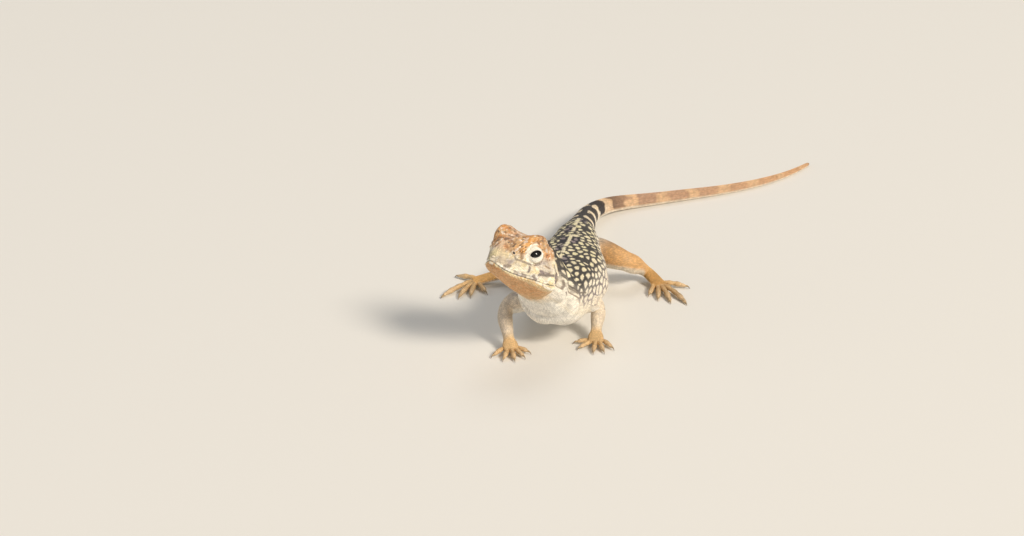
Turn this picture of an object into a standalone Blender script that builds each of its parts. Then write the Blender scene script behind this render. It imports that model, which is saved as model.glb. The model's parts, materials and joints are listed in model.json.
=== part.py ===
# A central netted dragon, life size, standing with its head raised and turned to its right.
# Lengths are in millimetres until a mesh is made. The animal faces -Y, its left side is +X,
# and the floor is z = 0. Distances along the body are counted back from the shoulder.
import math

import bmesh
import bpy
import numpy as np
from mathutils import Matrix, Vector

MM = 0.001
GAP = 0.3

TRUNK_LENGTH = 59.0
TAIL_LENGTH = 132.0
HEAD_LENGTH = 22.5
HEAD_HALF_WIDTH = 10.0
SNOUT_HEIGHT = 11.0
JAW_DEPTH = 6.8
JAW_BOX = 1.5  # 2 is round, less is more like a V
HEAD_TAPER = 1.08
HEAD_TURN = 28.5  # degrees to the animal's right
HEAD_LIFT = 28.5
HEAD_TILT = -2.2  # right side up
SNOUT_TIP = (-14.45, -29.1, 36.7)
EYE_AT = (10.6, 6.2, 5.6)  # back from the snout tip, out from the middle, up
EYE_RADIUS = 2.05
LID_RADII = (2.75, 2.65, 2.75)  # along the head, upwards, outwards
EYE_OPENING = (1.9, 1.15)
MOUTH_CORNER = 15.5
LIP_SLOPE = 1.3
CLAW_LENGTH = 1.7

COLOURS = {
    "skin": (0.62, 0.47, 0.28, 1.0),
    "crown": (0.60, 0.34, 0.16, 1.0),
    "net": (0.30, 0.27, 0.20, 1.0),
    "foot": (0.72, 0.45, 0.18, 1.0),
    "eye": (0.02, 0.012, 0.01, 1.0),
}


# Curves and frames

def ease(keys, values, at):
    """A smooth cubic through the values at the keys, with flat ends where the keys end."""
    keys = np.asarray(keys, float)
    values = np.asarray(values, float)
    at = np.clip(np.asarray(at, float), keys[0], keys[-1])
    slopes = np.gradient(values, keys)
    span = np.clip(np.searchsorted(keys, at, side="right") - 1, 0, len(keys) - 2)
    width = keys[span + 1] - keys[span]
    t = (at - keys[span]) / width
    return (
        (2 * t**3 - 3 * t**2 + 1) * values[span]
        + (t**3 - 2 * t**2 + t) * width * slopes[span]
        + (3 * t**2 - 2 * t**3) * values[span + 1]
        + (t**3 - t**2) * width * slopes[span + 1]
    )


def frame_of(forward, up_hint=(0.0, 0.0, 1.0)):
    """The forward, left and up directions as the columns of a matrix."""
    forward = Vector(forward).normalized()
    left = Vector(up_hint).cross(forward).normalized()
    up = forward.cross(left)
    return Matrix((forward, left, up)).transposed()


def head_frame():
    turn = math.radians(HEAD_TURN)
    lift = math.radians(HEAD_LIFT)
    tilt = Matrix.Rotation(math.radians(HEAD_TILT), 3, "X")
    forward = (-math.sin(turn) * math.cos(lift), -math.cos(turn) * math.cos(lift), math.sin(lift))
    return frame_of(forward) @ tilt


def head_to_world(points):
    """Head places (back, left, up) from the snout tip, as world places."""
    axes = np.array(head_frame())
    points = np.asarray(points, float)
    return (
        np.array(SNOUT_TIP)
        - points[..., :1] * axes[:, 0]
        + points[..., 1:2] * axes[:, 1]
        + points[..., 2:] * axes[:, 2]
    )


# Sections, all with the same points around, so that any two can be joined

def around_angles(count):
    """Angles from the top over the left side and round, with close rows at the lips."""
    half = np.linspace(0, math.pi, count // 2 + 1)
    lips = math.pi / 2 + np.array([-0.075, 0.075])
    half = np.unique(np.concatenate([half, lips]).round(6))
    return np.concatenate([half, 2 * math.pi - half[-2:0:-1]])


def section(angles, half_width, up, down, side=0.0, box=2.3, box_below=None):
    """A rounded box: half_width at the height side, up above the centre and down below it."""
    sine = np.sin(angles)
    cosine = np.cos(angles)
    box = np.where(cosine > 0, box, box if box_below is None else box_below)
    left = half_width * np.sign(sine) * np.abs(sine) ** (2 / box)
    height = np.abs(cosine) ** (2 / box)
    return left, np.where(cosine > 0, side + (up - side) * height, side - (down + side) * height)


# The head

def snout_curve(back, end, length, front):
    """Rises steeply from 0 at the tip to end at length, as a blunt snout does."""
    share = np.clip(np.asarray(back, float) / length, 0, 1)
    return end * np.sqrt(1 - (1 - share) ** front)


# Swellings (+) and hollows (-): where, how far they reach, and which way the skin moves
HEAD_FORMS = {
    "snout_shoulder": ((5.4, 4.9, 7.8), (3.2, 2.4, 2.8), (-0.4, 1.5, 1.2)),
    "brow": ((8.1, 5.7, 9.6), (3.0, 1.9, 2.0), (-0.2, 1.1, 1.8)),
    "brow_rear": ((12.6, 6.4, 9.4), (3.0, 2.2, 2.4), (0.0, 0.4, 1.9)),
    "crown_dip": ((9.0, 0.0, 10.0), (4.0, 2.6, 4.0), (0.0, 0.0, -1.1)),
    "rear_corner": ((20.0, 7.6, 7.6), (3.4, 3.4, 3.0), (0.0, -0.9, -0.7)),
    "nape_dip": ((18.0, 0.0, 9.4), (3.4, 3.6, 4.0), (0.0, 0.0, -0.5)),
    "orbit": ((10.2, 7.6, 5.3), (3.2, 3.0, 3.0), (0.0, -0.7, 0.0)),
    "eye_front_dip": ((5.9, 6.0, 3.8), (1.6, 2.4, 1.9), (0.0, -0.5, 0.0)),
    "nostril_swelling": ((3.4, 3.7, 4.1), (1.4, 1.5, 1.3), (-0.2, 0.4, 0.2)),
    "muzzle_side": ((6.0, 5.6, -0.4), (3.4, 3.0, 2.2), (0.0, -1.3, 0.0)),
    "under_eye": ((11.0, 8.6, 1.4), (4.0, 2.2, 1.2), (0.0, 0.5, 0.0)),
    "jaw_muscle": ((17.0, 10.0, -2.6), (3.0, 3.0, 3.0), (0.0, 0.8, -0.2)),
    "cheek": ((18.8, 10.0, 1.0), (3.2, 3.0, 2.8), (0.0, 1.5, 0.0)),
    "temple": ((14.6, 8.8, 5.6), (2.6, 2.6, 2.0), (0.0, -0.6, 0.0)),
    "lower_lip": ((8.0, 8.0, -2.4), (6.0, 4.0, 1.1), (0.0, 0.3, 0.0)),
    "chin_hollow": ((12.0, 5.5, -6.0), (6.0, 2.4, 2.0), (0.0, 0.0, 0.5)),
}
EAR_AT = (19.0, 10.9, 1.2)
EAR_OUT = (0.15, 1.0, 0.1)
EAR_SIZES = (1.5, 1.9, 1.1)  # along the head, upwards, inwards
NOSTRIL_AT = (3.3, 4.3, 4.3)
NOSTRIL_OUT = (-0.55, 0.85, 0.3)
NOSTRIL_SIZES = (0.5, 0.42, 0.8)
CREST_TALL = 1.15
CREST_WIDTH = 0.7


def lip_height(back):
    """The height of the mouth line, which falls from the snout tip and runs on to the corner of the mouth."""
    return ease(
        (0, 0.7, 2, 5, 8, 11, MOUTH_CORNER, 19, 24),
        (0, -0.5, -1.0, -1.45, -1.5, -1.4, -LIP_SLOPE, -1.1, -0.2),
        back,
    )


def head_sections(back, angles):
    """Rings of the head in head places, one ring for each distance back."""
    back = np.asarray(back, float)[:, None]
    angles = angles[None, :]
    width = snout_curve(back, HEAD_HALF_WIDTH, 19.0, HEAD_TAPER)
    width = width - ease((0, 18.5, 22.5, 26), (0, 0, 1.2, 2.0), back)
    top = snout_curve(back, SNOUT_HEIGHT, 11.0, 1.6) - ease((0, 13, 19, 24), (0, 0, 0.5, 1.5), back)
    bottom = snout_curve(back, JAW_DEPTH, 23.0, 1.2)
    lip = lip_height(back)
    box = ease((0, 4, 8, 18, 26), (2.0, 2.4, 2.9, 2.7, 2.3), back)
    below = ease((0, 4, 9, 17, 26), (2.0, 1.9, JAW_BOX, 1.9, 2.2), back)
    left, up = section(angles, width, top, bottom, lip, box, below)
    points = np.stack([np.broadcast_to(back, left.shape), left, up], axis=-1)
    groove = 0.55 * np.clip((MOUTH_CORNER + 0.8 - back) / 1.5, 0, 1) * np.clip(back / 0.8, 0, 1)
    at_lip = np.isclose(np.abs(np.cos(angles)), 0, atol=1e-6)
    points[..., 1] -= np.sign(left) * np.where(at_lip, groove, 0)
    return shaped(points, HEAD_FORMS)


def shaped(points, forms):
    """Moves the points by every form, alike on both sides of the middle."""
    out = np.abs(points[..., 1])
    side = np.tanh(points[..., 1] / 0.3)
    moved = points.copy()
    for at, reach, push in forms.values():
        away = (
            ((points[..., 0] - at[0]) / reach[0]) ** 2
            + ((out - at[1]) / reach[1]) ** 2
            + ((points[..., 2] - at[2]) / reach[2]) ** 2
        )
        weight = np.exp(-away)
        moved[..., 0] += weight * push[0]
        moved[..., 1] += weight * push[1] * side
        moved[..., 2] += weight * push[2]
    return moved


# The body and tail, along one line that starts at the shoulder

def heading(along):
    """The way the body line points, in degrees from +Y towards +X: the tail bends to the left."""
    end = TRUNK_LENGTH
    return ease(
        (-10, 20, 35, 50, end, end + 14, end + 30, end + 43, end + 54, end + 76, end + TAIL_LENGTH),
        (0, 0, -2, -4, -4, -2, 1, 18, 48, 58, 24),
        along,
    )


def body_line(along):
    """World places on the body line, with heights from the shoulder down to the tail on the floor."""
    steps = np.linspace(-10, TRUNK_LENGTH + TAIL_LENGTH, 800)
    turn = np.radians(heading(steps))
    step = steps[1] - steps[0]
    x = np.cumsum(np.sin(turn)) * step
    y = np.cumsum(np.cos(turn)) * step
    zero = np.searchsorted(steps, 0)
    x = np.interp(along, steps, x - x[zero])
    y = np.interp(along, steps, y - y[zero])
    return np.stack([x, y, body_height(along)], axis=-1)


BODY_KEYS = (-4, 2, 10, 18, 26, 35, 43, 50, 57, 64, 74, 88, 102, 116, 140, 168, 191)
BODY_HEIGHT = (
    16.8, 15.9, 14.6, 13.8, 13.2, 12.8, 12.6, 12.2, 11.3, 10.1, 8.2, 5.9, 4.0, 2.75, 1.9, 1.3, 0.75,
)
BODY_WIDTH = (9.6, 10.6, 12.3, 13.1, 11.9, 9.7, 8.0, 6.9, 5.8, 4.9, 4.2, 3.5, 2.75, 2.25, 1.75, 1.2, 0.65)
BODY_UP = (8.0, 8.6, 8.9, 9.0, 8.6, 7.8, 7.0, 6.3, 5.5, 4.9, 4.2, 3.45, 2.7, 2.2, 1.7, 1.15, 0.6)
BODY_DOWN = (9.0, 9.2, 8.9, 8.5, 8.0, 7.3, 6.8, 6.3, 5.7, 5.1, 4.4, 3.7, 3.0, 2.6, 1.95, 1.35, 0.8)
BODY_BOX = (2.5, 2.6, 2.5, 2.4, 2.35, 2.25, 2.2, 2.1, 2.0, 2.0, 2.0, 2.0, 2.0, 2.0, 2.0, 2.0, 2.0)
BELLY_BOX = (2.7, 3.1, 3.1, 2.9, 2.7, 2.5, 2.3, 2.2, 2.0, 2.0, 2.0, 2.0, 2.0, 2.0, 2.0, 2.0, 2.0)

BODY_FORMS = {
    "shoulder_blade": ((3.0, 8.0, 5.0), (5.0, 3.5, 4.0), (0.0, 0.7, 0.5)),
    "flank_fold": ((28.0, 12.0, -3.0), (20.0, 4.0, 2.4), (0.0, 0.7, 0.0)),
    "hip": ((57.0, 7.0, 3.5), (5.0, 3.0, 3.0), (0.0, 0.6, 0.4)),
    "ridge": ((30.0, 0.0, 9.0), (40.0, 1.2, 3.0), (0.0, 0.0, 0.35)),
    "breast": ((0.0, 0.0, -8.0), (6.0, 6.0, 3.0), (0.0, 0.0, -0.3)),
}


def body_height(along):
    return ease(BODY_KEYS, BODY_HEIGHT, along)


def body_axes(along):
    """Forward, left and up directions of each ring, with forward against the line's direction."""
    delta = 0.6
    ahead = body_line(np.asarray(along) - delta)
    behind = body_line(np.asarray(along) + delta)
    forward = ahead - behind
    forward /= np.linalg.norm(forward, axis=-1, keepdims=True)
    left = np.cross((0.0, 0.0, 1.0), forward)
    left /= np.linalg.norm(left, axis=-1, keepdims=True)
    return forward, left, np.cross(forward, left)


def body_rings(along, angles, grow=0.0):
    """Rings of the trunk and tail in world places. What would pass the floor lies flat on it."""
    along = np.asarray(along, float)
    left, up = section(
        angles[None, :],
        ease(BODY_KEYS, BODY_WIDTH, along)[:, None] + grow,
        ease(BODY_KEYS, BODY_UP, along)[:, None] + grow,
        ease(BODY_KEYS, BODY_DOWN, along)[:, None] + grow,
        0.0,
        ease(BODY_KEYS, BODY_BOX, along)[:, None],
        ease(BODY_KEYS, BELLY_BOX, along)[:, None],
    )
    local = np.stack([np.broadcast_to(along[:, None], left.shape), left, up], axis=-1)
    local = shaped(local, BODY_FORMS)
    _, left_axis, up_axis = body_axes(along)
    points = (
        body_line(along)[:, None, :]
        + local[..., 1:2] * left_axis[:, None, :]
        + local[..., 2:] * up_axis[:, None, :]
    )
    return on_floor(points)


def on_floor(points):
    points = points.copy()
    points[..., 2] = np.maximum(points[..., 2], 0.0)
    return points


# The neck, which turns from the body's frame to the head's

def neck_rings(shares, angles, grow=0.0):
    """Rings from the body's front ring (share 0) to the head's back ring (share 1)."""
    first = body_rings([BODY_KEYS[0]], angles)[0]
    last = head_to_world(head_sections([HEAD_LENGTH], angles))[0]
    start = body_line(np.array([float(BODY_KEYS[0])]))[0]
    end = head_to_world(np.array([HEAD_LENGTH, 0.0, 0.8]))
    forward, left, up = body_axes(np.array([float(BODY_KEYS[0])]))
    body_matrix = Matrix((forward[0], left[0], up[0])).transposed()
    head_matrix = head_frame()
    body_turn = body_matrix.to_quaternion()
    head_turn = head_matrix.to_quaternion()
    reach = 0.9 * float(np.linalg.norm(end - start))
    start_pull = np.array(forward[0]) * reach
    end_pull = np.array(head_matrix.col[0]) * reach
    first_flat = (first - start) @ np.array(body_matrix)
    last_flat = (last - end) @ np.array(head_matrix)
    rings = []
    for share in shares:
        t = float(share)
        centre = (
            (2 * t**3 - 3 * t**2 + 1) * start
            + (t**3 - 2 * t**2 + t) * start_pull
            + (3 * t**2 - 2 * t**3) * end
            + (t**3 - t**2) * end_pull
        )
        turn = np.array(body_turn.slerp(head_turn, t * t * (3 - 2 * t)).to_matrix())
        mix = t * t * (3 - 2 * t)
        flat = (1 - mix) * first_flat + mix * last_flat
        squeeze = 1 - 0.07 * math.sin(math.pi * t)
        flat = flat * np.array([1.0, squeeze, 1.0])
        size = np.linalg.norm(flat[:, 1:], axis=1, keepdims=True)
        flat = flat * (1 + grow / np.maximum(size, 1.0))
        rings.append(centre + flat @ turn.T)
    return np.array(rings)


# Meshes from rings

def loft(name, rings, close_start=None, close_end=None):
    """One closed mesh from rings of like points. An end closes on the given place or its middle."""
    rings = np.asarray(rings, float) * MM
    count, around = rings.shape[:2]
    mesh = bpy.data.meshes.new(name)
    form = bmesh.new()
    rows = [[form.verts.new(tuple(p)) for p in ring] for ring in rings]
    for row, after in zip(rows, rows[1:]):
        for k in range(around):
            j = (k + 1) % around
            form.faces.new((row[k], row[j], after[j], after[k]))
    for row, ring, place in ((rows[0], rings[0], close_start), (rows[-1], rings[-1], close_end)):
        middle = ring.mean(axis=0) if place is None else np.asarray(place, float) * MM
        tip = form.verts.new(tuple(middle))
        for k in range(around):
            form.faces.new((row[k], row[(k + 1) % around], tip))
    bmesh.ops.recalc_face_normals(form, faces=form.faces)
    form.to_mesh(mesh)
    form.free()
    return mesh


def add_object(name, mesh, colour, collection):
    """A named node with its own material."""
    thing = bpy.data.objects.new(name, mesh)
    collection.objects.link(thing)
    mesh.materials.clear()
    mesh.materials.append(material(name, colour))
    mesh.shade_smooth()
    mesh.set_sharp_from_angle(angle=math.radians(40))
    return thing


def material(name, colour):
    made = bpy.data.materials.new(name)
    made.use_nodes = True
    shader = made.node_tree.nodes["Principled BSDF"]
    shader.inputs["Base Color"].default_value = COLOURS[colour]
    shader.inputs["Roughness"].default_value = 0.15 if colour == "eye" else 0.6
    shader.inputs["Metallic"].default_value = 0.0
    return made


def stand_over_origin(things):
    """Moves the whole animal so that the origin is on the floor under the middle of its box."""
    corners = np.array([corner.co for thing in things for corner in thing.data.vertices])
    middle = (corners.min(axis=0) + corners.max(axis=0)) / 2
    for thing in things:
        thing.data.transform(Matrix.Translation((-middle[0], -middle[1], 0.0)))


def combined(mesh, others, operation, solver="EXACT"):
    """The mesh after one Boolean with all the others, as its largest closed surface."""
    base = bpy.data.objects.new("base", mesh)
    bpy.context.scene.collection.objects.link(base)
    group = bpy.data.collections.new("pieces")
    bpy.context.scene.collection.children.link(group)
    for number, other in enumerate(others):
        group.objects.link(bpy.data.objects.new(f"piece_{number}", other))
    step = base.modifiers.new("join", "BOOLEAN")
    step.operation = operation
    step.operand_type = "COLLECTION"
    step.collection = group
    step.solver = solver
    graph = bpy.context.evaluated_depsgraph_get()
    made = bpy.data.meshes.new_from_object(base.evaluated_get(graph))
    for thing in [*group.objects, base]:
        bpy.data.objects.remove(thing)
    bpy.data.collections.remove(group)
    return largest_body(made)


def largest_body(mesh):
    """Keeps the largest closed surface of a mesh."""
    form = bmesh.new()
    form.from_mesh(mesh)
    bmesh.ops.triangulate(form, faces=form.faces)
    unseen = set(form.verts)
    bodies = []
    while unseen:
        stack = [unseen.pop()]
        body = set(stack)
        while stack:
            for edge in stack.pop().link_edges:
                for corner in edge.verts:
                    if corner not in body:
                        body.add(corner)
                        stack.append(corner)
        unseen -= body
        bodies.append(body)
    bodies.sort(key=lambda body: spread(body), reverse=True)
    for body in bodies[1:]:
        bmesh.ops.delete(form, geom=list(body), context="VERTS")
    form.to_mesh(mesh)
    form.free()
    return mesh


def spread(corners):
    places = np.array([corner.co for corner in corners])
    return float(np.prod(places.max(axis=0) - places.min(axis=0)))


# Small forms that are set on a surface

def ellipsoid(name, centre, axes, sizes, segments=12, rings=8):
    """A ball of radius 1 stretched to sizes along the columns of axes."""
    form = bmesh.new()
    bmesh.ops.create_uvsphere(form, u_segments=segments, v_segments=rings, radius=1.0)
    stretch = Matrix.Diagonal(Vector(sizes) * MM)
    form.transform(Matrix.Translation(Vector(centre) * MM) @ (axes @ stretch).to_4x4())
    if axes.determinant() < 0:
        bmesh.ops.reverse_faces(form, faces=form.faces)
    mesh = bpy.data.meshes.new(name)
    form.to_mesh(mesh)
    form.free()
    return mesh


def eye_matrix(side):
    """The eye's own axes as columns: back along the head, up and out."""
    out, over, along = eye_axes(side)
    return Matrix(head_frame_back()) @ Matrix((along, over, out)).transposed()


def head_frame_back():
    """The head's axes as columns: back, left and up, as head places count them."""
    axes = head_frame()
    return Matrix((-axes.col[0], axes.col[1], axes.col[2])).transposed()


def eye_centre(side):
    return head_to_world(np.array([EYE_AT[0], side * EYE_AT[1], EYE_AT[2]]))


def eye_ball(side, grow):
    """The round eye, or the hollow that it sits in."""
    size = EYE_RADIUS + grow
    return ellipsoid("eye", eye_centre(side), eye_matrix(side), (size, size, size), 18, 12)


def lid_ball(side):
    """The swelling that both lids make over the eye."""
    return ellipsoid("lids", eye_centre(side), eye_matrix(side), LID_RADII, 20, 14)


def lid_opening(side):
    """The long slit between the lids, as a rod along the way the eye looks."""
    out, _, _ = eye_axes(side)
    centre = head_to_world(np.array([EYE_AT[0], side * EYE_AT[1], EYE_AT[2]]) + out * 3.2)
    return ellipsoid("opening", centre, eye_matrix(side), (*EYE_OPENING, 3.0), 16, 12)


def eye_axes(side):
    """Out of the eye, up and back, in head places: the eye looks out, forward and a little up."""
    out = np.array([-0.58, side * 0.79, 0.15])
    out /= np.linalg.norm(out)
    along = np.cross((0.0, 0.0, 1.0), out) * side
    along /= np.linalg.norm(along)
    over = np.cross(out, along) * side
    over *= np.sign(over[2])
    along *= np.sign(along[0])
    return out, over, along


def head_hollow(name, at, axes_out, sizes, side):
    """A cup or hole in the side of the head, as the egg that is cut away."""
    out = np.array([axes_out[0], axes_out[1] * side, axes_out[2]], float)
    out /= np.linalg.norm(out)
    along = np.cross((0.0, 0.0, 1.0), out)
    along /= np.linalg.norm(along)
    over = np.cross(out, along)
    matrix = head_frame_back() @ Matrix((along, over, out)).transposed()
    return ellipsoid(name, head_to_world(np.array([at[0], at[1] * side, at[2]])), matrix, sizes, 12, 8)


def spine(root, out, back, height, width):
    """One pointed crest scale that leans back, with its root sunk in the skin."""
    root, out, back = (np.asarray(v, float) for v in (root, out, back))
    side = np.cross(out, back)
    turns = np.linspace(0, 2 * math.pi, 6, endpoint=False)
    rings = []
    for lift, size in ((-0.9, 0.9), (0.3, 1.0)):
        rings.append(
            root
            + lift * out
            + np.cos(turns)[:, None] * back * width * size
            + np.sin(turns)[:, None] * side * width * size * 0.55
            + back * lift * 0.3
        )
    return loft("spine", rings, close_end=root + out * height + back * height * 0.6)


def line_on(rings, turn, angles):
    """The places, outward ways and backward ways along rings, at one angle round them."""
    k = int(np.argmin(np.abs(angles - turn)))
    places = rings[:, k]
    back = np.gradient(places, axis=0)
    back /= np.linalg.norm(back, axis=1, keepdims=True)
    out = places - rings.mean(axis=1)
    out -= np.sum(out * back, axis=1, keepdims=True) * back
    out /= np.linalg.norm(out, axis=1, keepdims=True)
    return places, out, back


def spine_row(rings, angles, turn, shares, tall, width):
    """A row of crest scales set along rings, tallest in its middle."""
    places, out, back = line_on(rings, turn, angles)
    keys = np.linspace(0, 1, len(places))
    row = []
    for number, share in enumerate(shares):
        at = [np.array([np.interp(share, keys, way[:, k]) for k in range(3)]) for way in (places, out, back)]
        height = tall * (0.75 + 0.25 * math.sin(math.pi * (number + 0.5) / len(shares)))
        row.append(spine(at[0], at[1], at[2], height, width))
    return row


# Limbs

def along_curve(points, count):
    """Even places on a smooth curve through the points, and how far along they are, from 0 to 1."""
    points = np.asarray(points, float)
    steps = np.linalg.norm(np.diff(points, axis=0), axis=1)
    keys = np.concatenate([[0], np.cumsum(steps)])
    at = np.linspace(0, keys[-1], count)
    return np.stack([ease(keys, points[:, k], at) for k in range(3)], axis=-1), at / keys[-1]


def bent_line(joints, count):
    """Places on a line through the joints with rounded bends, and their joint numbers (1.5 is midway)."""
    joints = np.asarray(joints, float)
    numbers = np.linspace(0, len(joints) - 1, count)
    lower = np.clip(numbers.astype(int), 0, len(joints) - 2)
    straight = joints[lower] + (numbers - lower)[:, None] * (joints[lower + 1] - joints[lower])
    smooth = straight.copy()
    for number in range(1, len(joints) - 1):
        away = np.abs(numbers - number)
        near = away < BEND
        t = 0.5 + (numbers[near, None] - number) / (2 * BEND)
        before = joints[number] + BEND * (joints[number - 1] - joints[number])
        after = joints[number] + BEND * (joints[number + 1] - joints[number])
        smooth[near] = (1 - t) ** 2 * before + 2 * t * (1 - t) * joints[number] + t**2 * after
    return smooth, numbers


def rings_round(places, across, half_width, half_height, around):
    """Rings round a line. The last ring lies across the given way, and the others follow it smoothly."""
    ways = np.gradient(places, axis=0)
    ways /= np.linalg.norm(ways, axis=1, keepdims=True)
    sides = np.empty_like(places)
    side = np.asarray(across, float)
    for k in range(len(places) - 1, -1, -1):
        side = side - (side @ ways[k]) * ways[k]
        side = side / np.linalg.norm(side)
        sides[k] = side
    over = np.cross(sides, ways)
    turns = np.linspace(0, 2 * math.pi, around, endpoint=False) + math.pi / around
    rings = (
        places[:, None, :]
        + np.cos(turns)[None, :, None] * sides[:, None, :] * np.asarray(half_width)[:, None, None]
        + np.sin(turns)[None, :, None] * over[:, None, :] * np.asarray(half_height)[:, None, None]
    )
    return on_floor(rings)


# Half widths and half heights along each kind of leg, at joint numbers: 0 root, 1 elbow or knee,
# 2 wrist or ankle, 3 knuckles. Digits run from the innermost to the outermost.
FRONT_LEG = {
    "numbers": (0.0, 0.5, 0.85, 1.1, 1.4, 1.8, 2.0, 2.4, 3.0),
    "width": (4.3, 3.5, 2.7, 2.3, 2.25, 1.75, 1.65, 2.3, 2.3),
    "height": (4.3, 3.5, 2.7, 2.4, 2.25, 1.75, 1.55, 1.3, 0.95),
    "lengths": (3.0, 4.2, 5.2, 5.0, 4.2),
    "radius": 0.72,
    "knuckle_spread": 1.8,
}
HIND_LEG = {
    "numbers": (0.0, 0.5, 0.85, 1.1, 1.4, 1.8, 2.0, 2.4, 3.0),
    "width": (4.6, 4.3, 3.6, 3.1, 3.0, 2.1, 1.9, 2.1, 2.3),
    "height": (4.4, 4.1, 3.5, 3.1, 3.0, 2.1, 1.75, 1.45, 1.1),
    "lengths": (4.6, 7.6, 10.4, 13.4, 6.4),
    "radius": 0.78,
    "knuckle_spread": 1.8,
}
# The joints from the body out, and the way of each digit in degrees from -Y towards the leg's side
LEGS = {
    "front_left": {
        "kind": FRONT_LEG,
        "joints": ((7.0, 2.0, 13.6), (12.2, 8.0, 9.4), (12.1, 2.0, 3.3), (12.5, -1.8, 1.3)),
        "ways": (-82, -40, 2, 22, 44),
        "curl": 0.0,
    },
    "front_right": {
        "kind": FRONT_LEG,
        "joints": ((-7.0, 2.0, 13.6), (-15.9, 0.6, 9.8), (-12.7, -8.0, 3.2), (-11.4, -11.4, 1.3)),
        "ways": (-72, -44, -20, 2, 28),
        "curl": 8.0,
    },
    "hind_left": {
        "kind": HIND_LEG,
        "joints": ((4.0, 50.0, 9.4), (15.6, 41.6, 10.6), (20.5, 53.0, 3.4), (26.4, 45.2, 1.45)),
        "ways": (-4, 12, 26, 40, 92),
        "curl": -16.0,
    },
    "hind_right": {
        "kind": HIND_LEG,
        "joints": ((-4.0, 50.0, 9.2), (-15.2, 39.4, 9.4), (-21.4, 44.0, 3.5), (-31.6, 39.4, 1.45)),
        "ways": (-30, 4, 18, 36, 118),
        "curl": -14.0,
    },
}
NODE_NAMES = {
    "front_left": ("upper_arm_left", "forearm_left", "hand_left"),
    "front_right": ("upper_arm_right", "forearm_right", "hand_right"),
    "hind_left": ("thigh_left", "shank_left", "foot_left"),
    "hind_right": ("thigh_right", "shank_right", "foot_right"),
}
BEND = 0.42  # how much of each bone's length a bend takes


def digit_rings(root, way, curl, length, radius):
    """A digit that arches from its knuckle down to the floor, with its claw, as one run of rings."""
    reach = length + CLAW_LENGTH
    shares = np.linspace(0, 1, 6)
    swing = np.radians(way + curl * (shares - 0.3))
    flat = np.stack([np.sin(swing), -np.cos(swing)], axis=-1)
    steps = np.concatenate([[[0, 0]], np.cumsum((flat[1:] + flat[:-1]) / 2 * reach / 5, axis=0)])
    rest = radius * 0.8
    rise = rest + (root[2] - rest) * (1 - shares) ** 2 + 0.5 * np.sin(math.pi * shares**0.85)
    rise[-1] = 0.3
    points = np.column_stack([root[0] + steps[:, 0], root[1] + steps[:, 1], rise])
    claw_from = length / reach
    places, at = along_curve(points, 9)
    # the eighth ring starts the claw, and the ninth is its tip
    places[7] = along_curve(points, 200)[0][int(200 * claw_from)]
    at[7] = claw_from
    knots = (0, 0.3, claw_from * 0.85, claw_from, 1)
    size = ease(knots, (radius * 1.1, radius, radius * 0.92, radius * 0.62, 0.1), at)
    across = (math.cos(swing[-1]), math.sin(swing[-1]), 0.0)
    return rings_round(places, across, size, size * 0.95, 7)


def leg_rings(leg, count):
    """All the rings of one leg from its root to the knuckles, and the joint number of each."""
    kind = leg["kind"]
    places, numbers = bent_line(leg["joints"], count)
    way = places[-1] - places[-4]
    across = (-way[1], way[0], 0.0)
    width = ease(kind["numbers"], kind["width"], numbers)
    height = ease(kind["numbers"], kind["height"], numbers)
    return rings_round(places, across, width, height, 14), numbers, places


def between(rings, numbers, places, first, last, count):
    """Rings read off at even joint numbers. At a joint the end stands back by half the gap."""
    margin = 0.13
    ends = (first > 0) + (last < 3)
    at = np.linspace(first + margin * (first > 0), last - margin * (last < 3), count - ends)
    if first > 0:
        at = np.concatenate([[first], at])
    if last < 3:
        at = np.concatenate([at, [last]])
    flat = rings.reshape(len(rings), -1)
    read = np.stack([np.interp(at, numbers, flat[:, k]) for k in range(flat.shape[1])], axis=-1)
    read = read.reshape(len(at), *rings.shape[1:])
    for index, number, sign in ((0, first, 1), (-1, last, -1)):
        if 0 < number < 3:
            near = int(np.argmin(np.abs(numbers - number)))
            way = places[near + 1] - places[near - 1]
            read[index] += sign * way / np.linalg.norm(way) * GAP / 2
    return on_floor(read)


def limb_meshes(name, leg, side, cutter):
    """The upper and lower part, both cut to fit the body, and the hand or foot."""
    kind = leg["kind"]
    rings, numbers, places = leg_rings(leg, 121)
    joints = np.asarray(leg["joints"], float)
    upper = between(rings, numbers, places, 0, 1, 9)
    lower = between(rings, numbers, places, 1, 2, 9)
    palm = between(rings, numbers, places, 2, 3, 6)
    turn = joints[3] - joints[2]
    ahead = turn * (1, 1, 0) / np.linalg.norm(turn[:2])
    across = np.array([-ahead[1], ahead[0], 0.0]) * side
    digits = []
    for number, (length, way) in enumerate(zip(kind["lengths"], leg["ways"])):
        place = (number - 2) / 2 * kind["knuckle_spread"]
        set_back = (1.5, 0.9, 0.7, 0.9, 1.9)[number]
        root = joints[3] + across * place - ahead * set_back
        way_out = np.array([math.sin(math.radians(way)) * side, -math.cos(math.radians(way)), 0.0])
        root = root - way_out * 0.4
        digits.append(
            loft("digit", digit_rings(root, way * side, leg["curl"] * side, length + 1.0, kind["radius"]))
        )
    # the exact solver fails here: it leaves nothing of a lower part, and a hand that touches itself
    return (
        combined(loft(name, upper), [cutter], "DIFFERENCE", "MANIFOLD"),
        combined(loft(name, lower), [cutter.copy()], "DIFFERENCE", "MANIFOLD"),
        combined(loft("palm", palm), digits, "UNION", "MANIFOLD"),
    )


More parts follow.
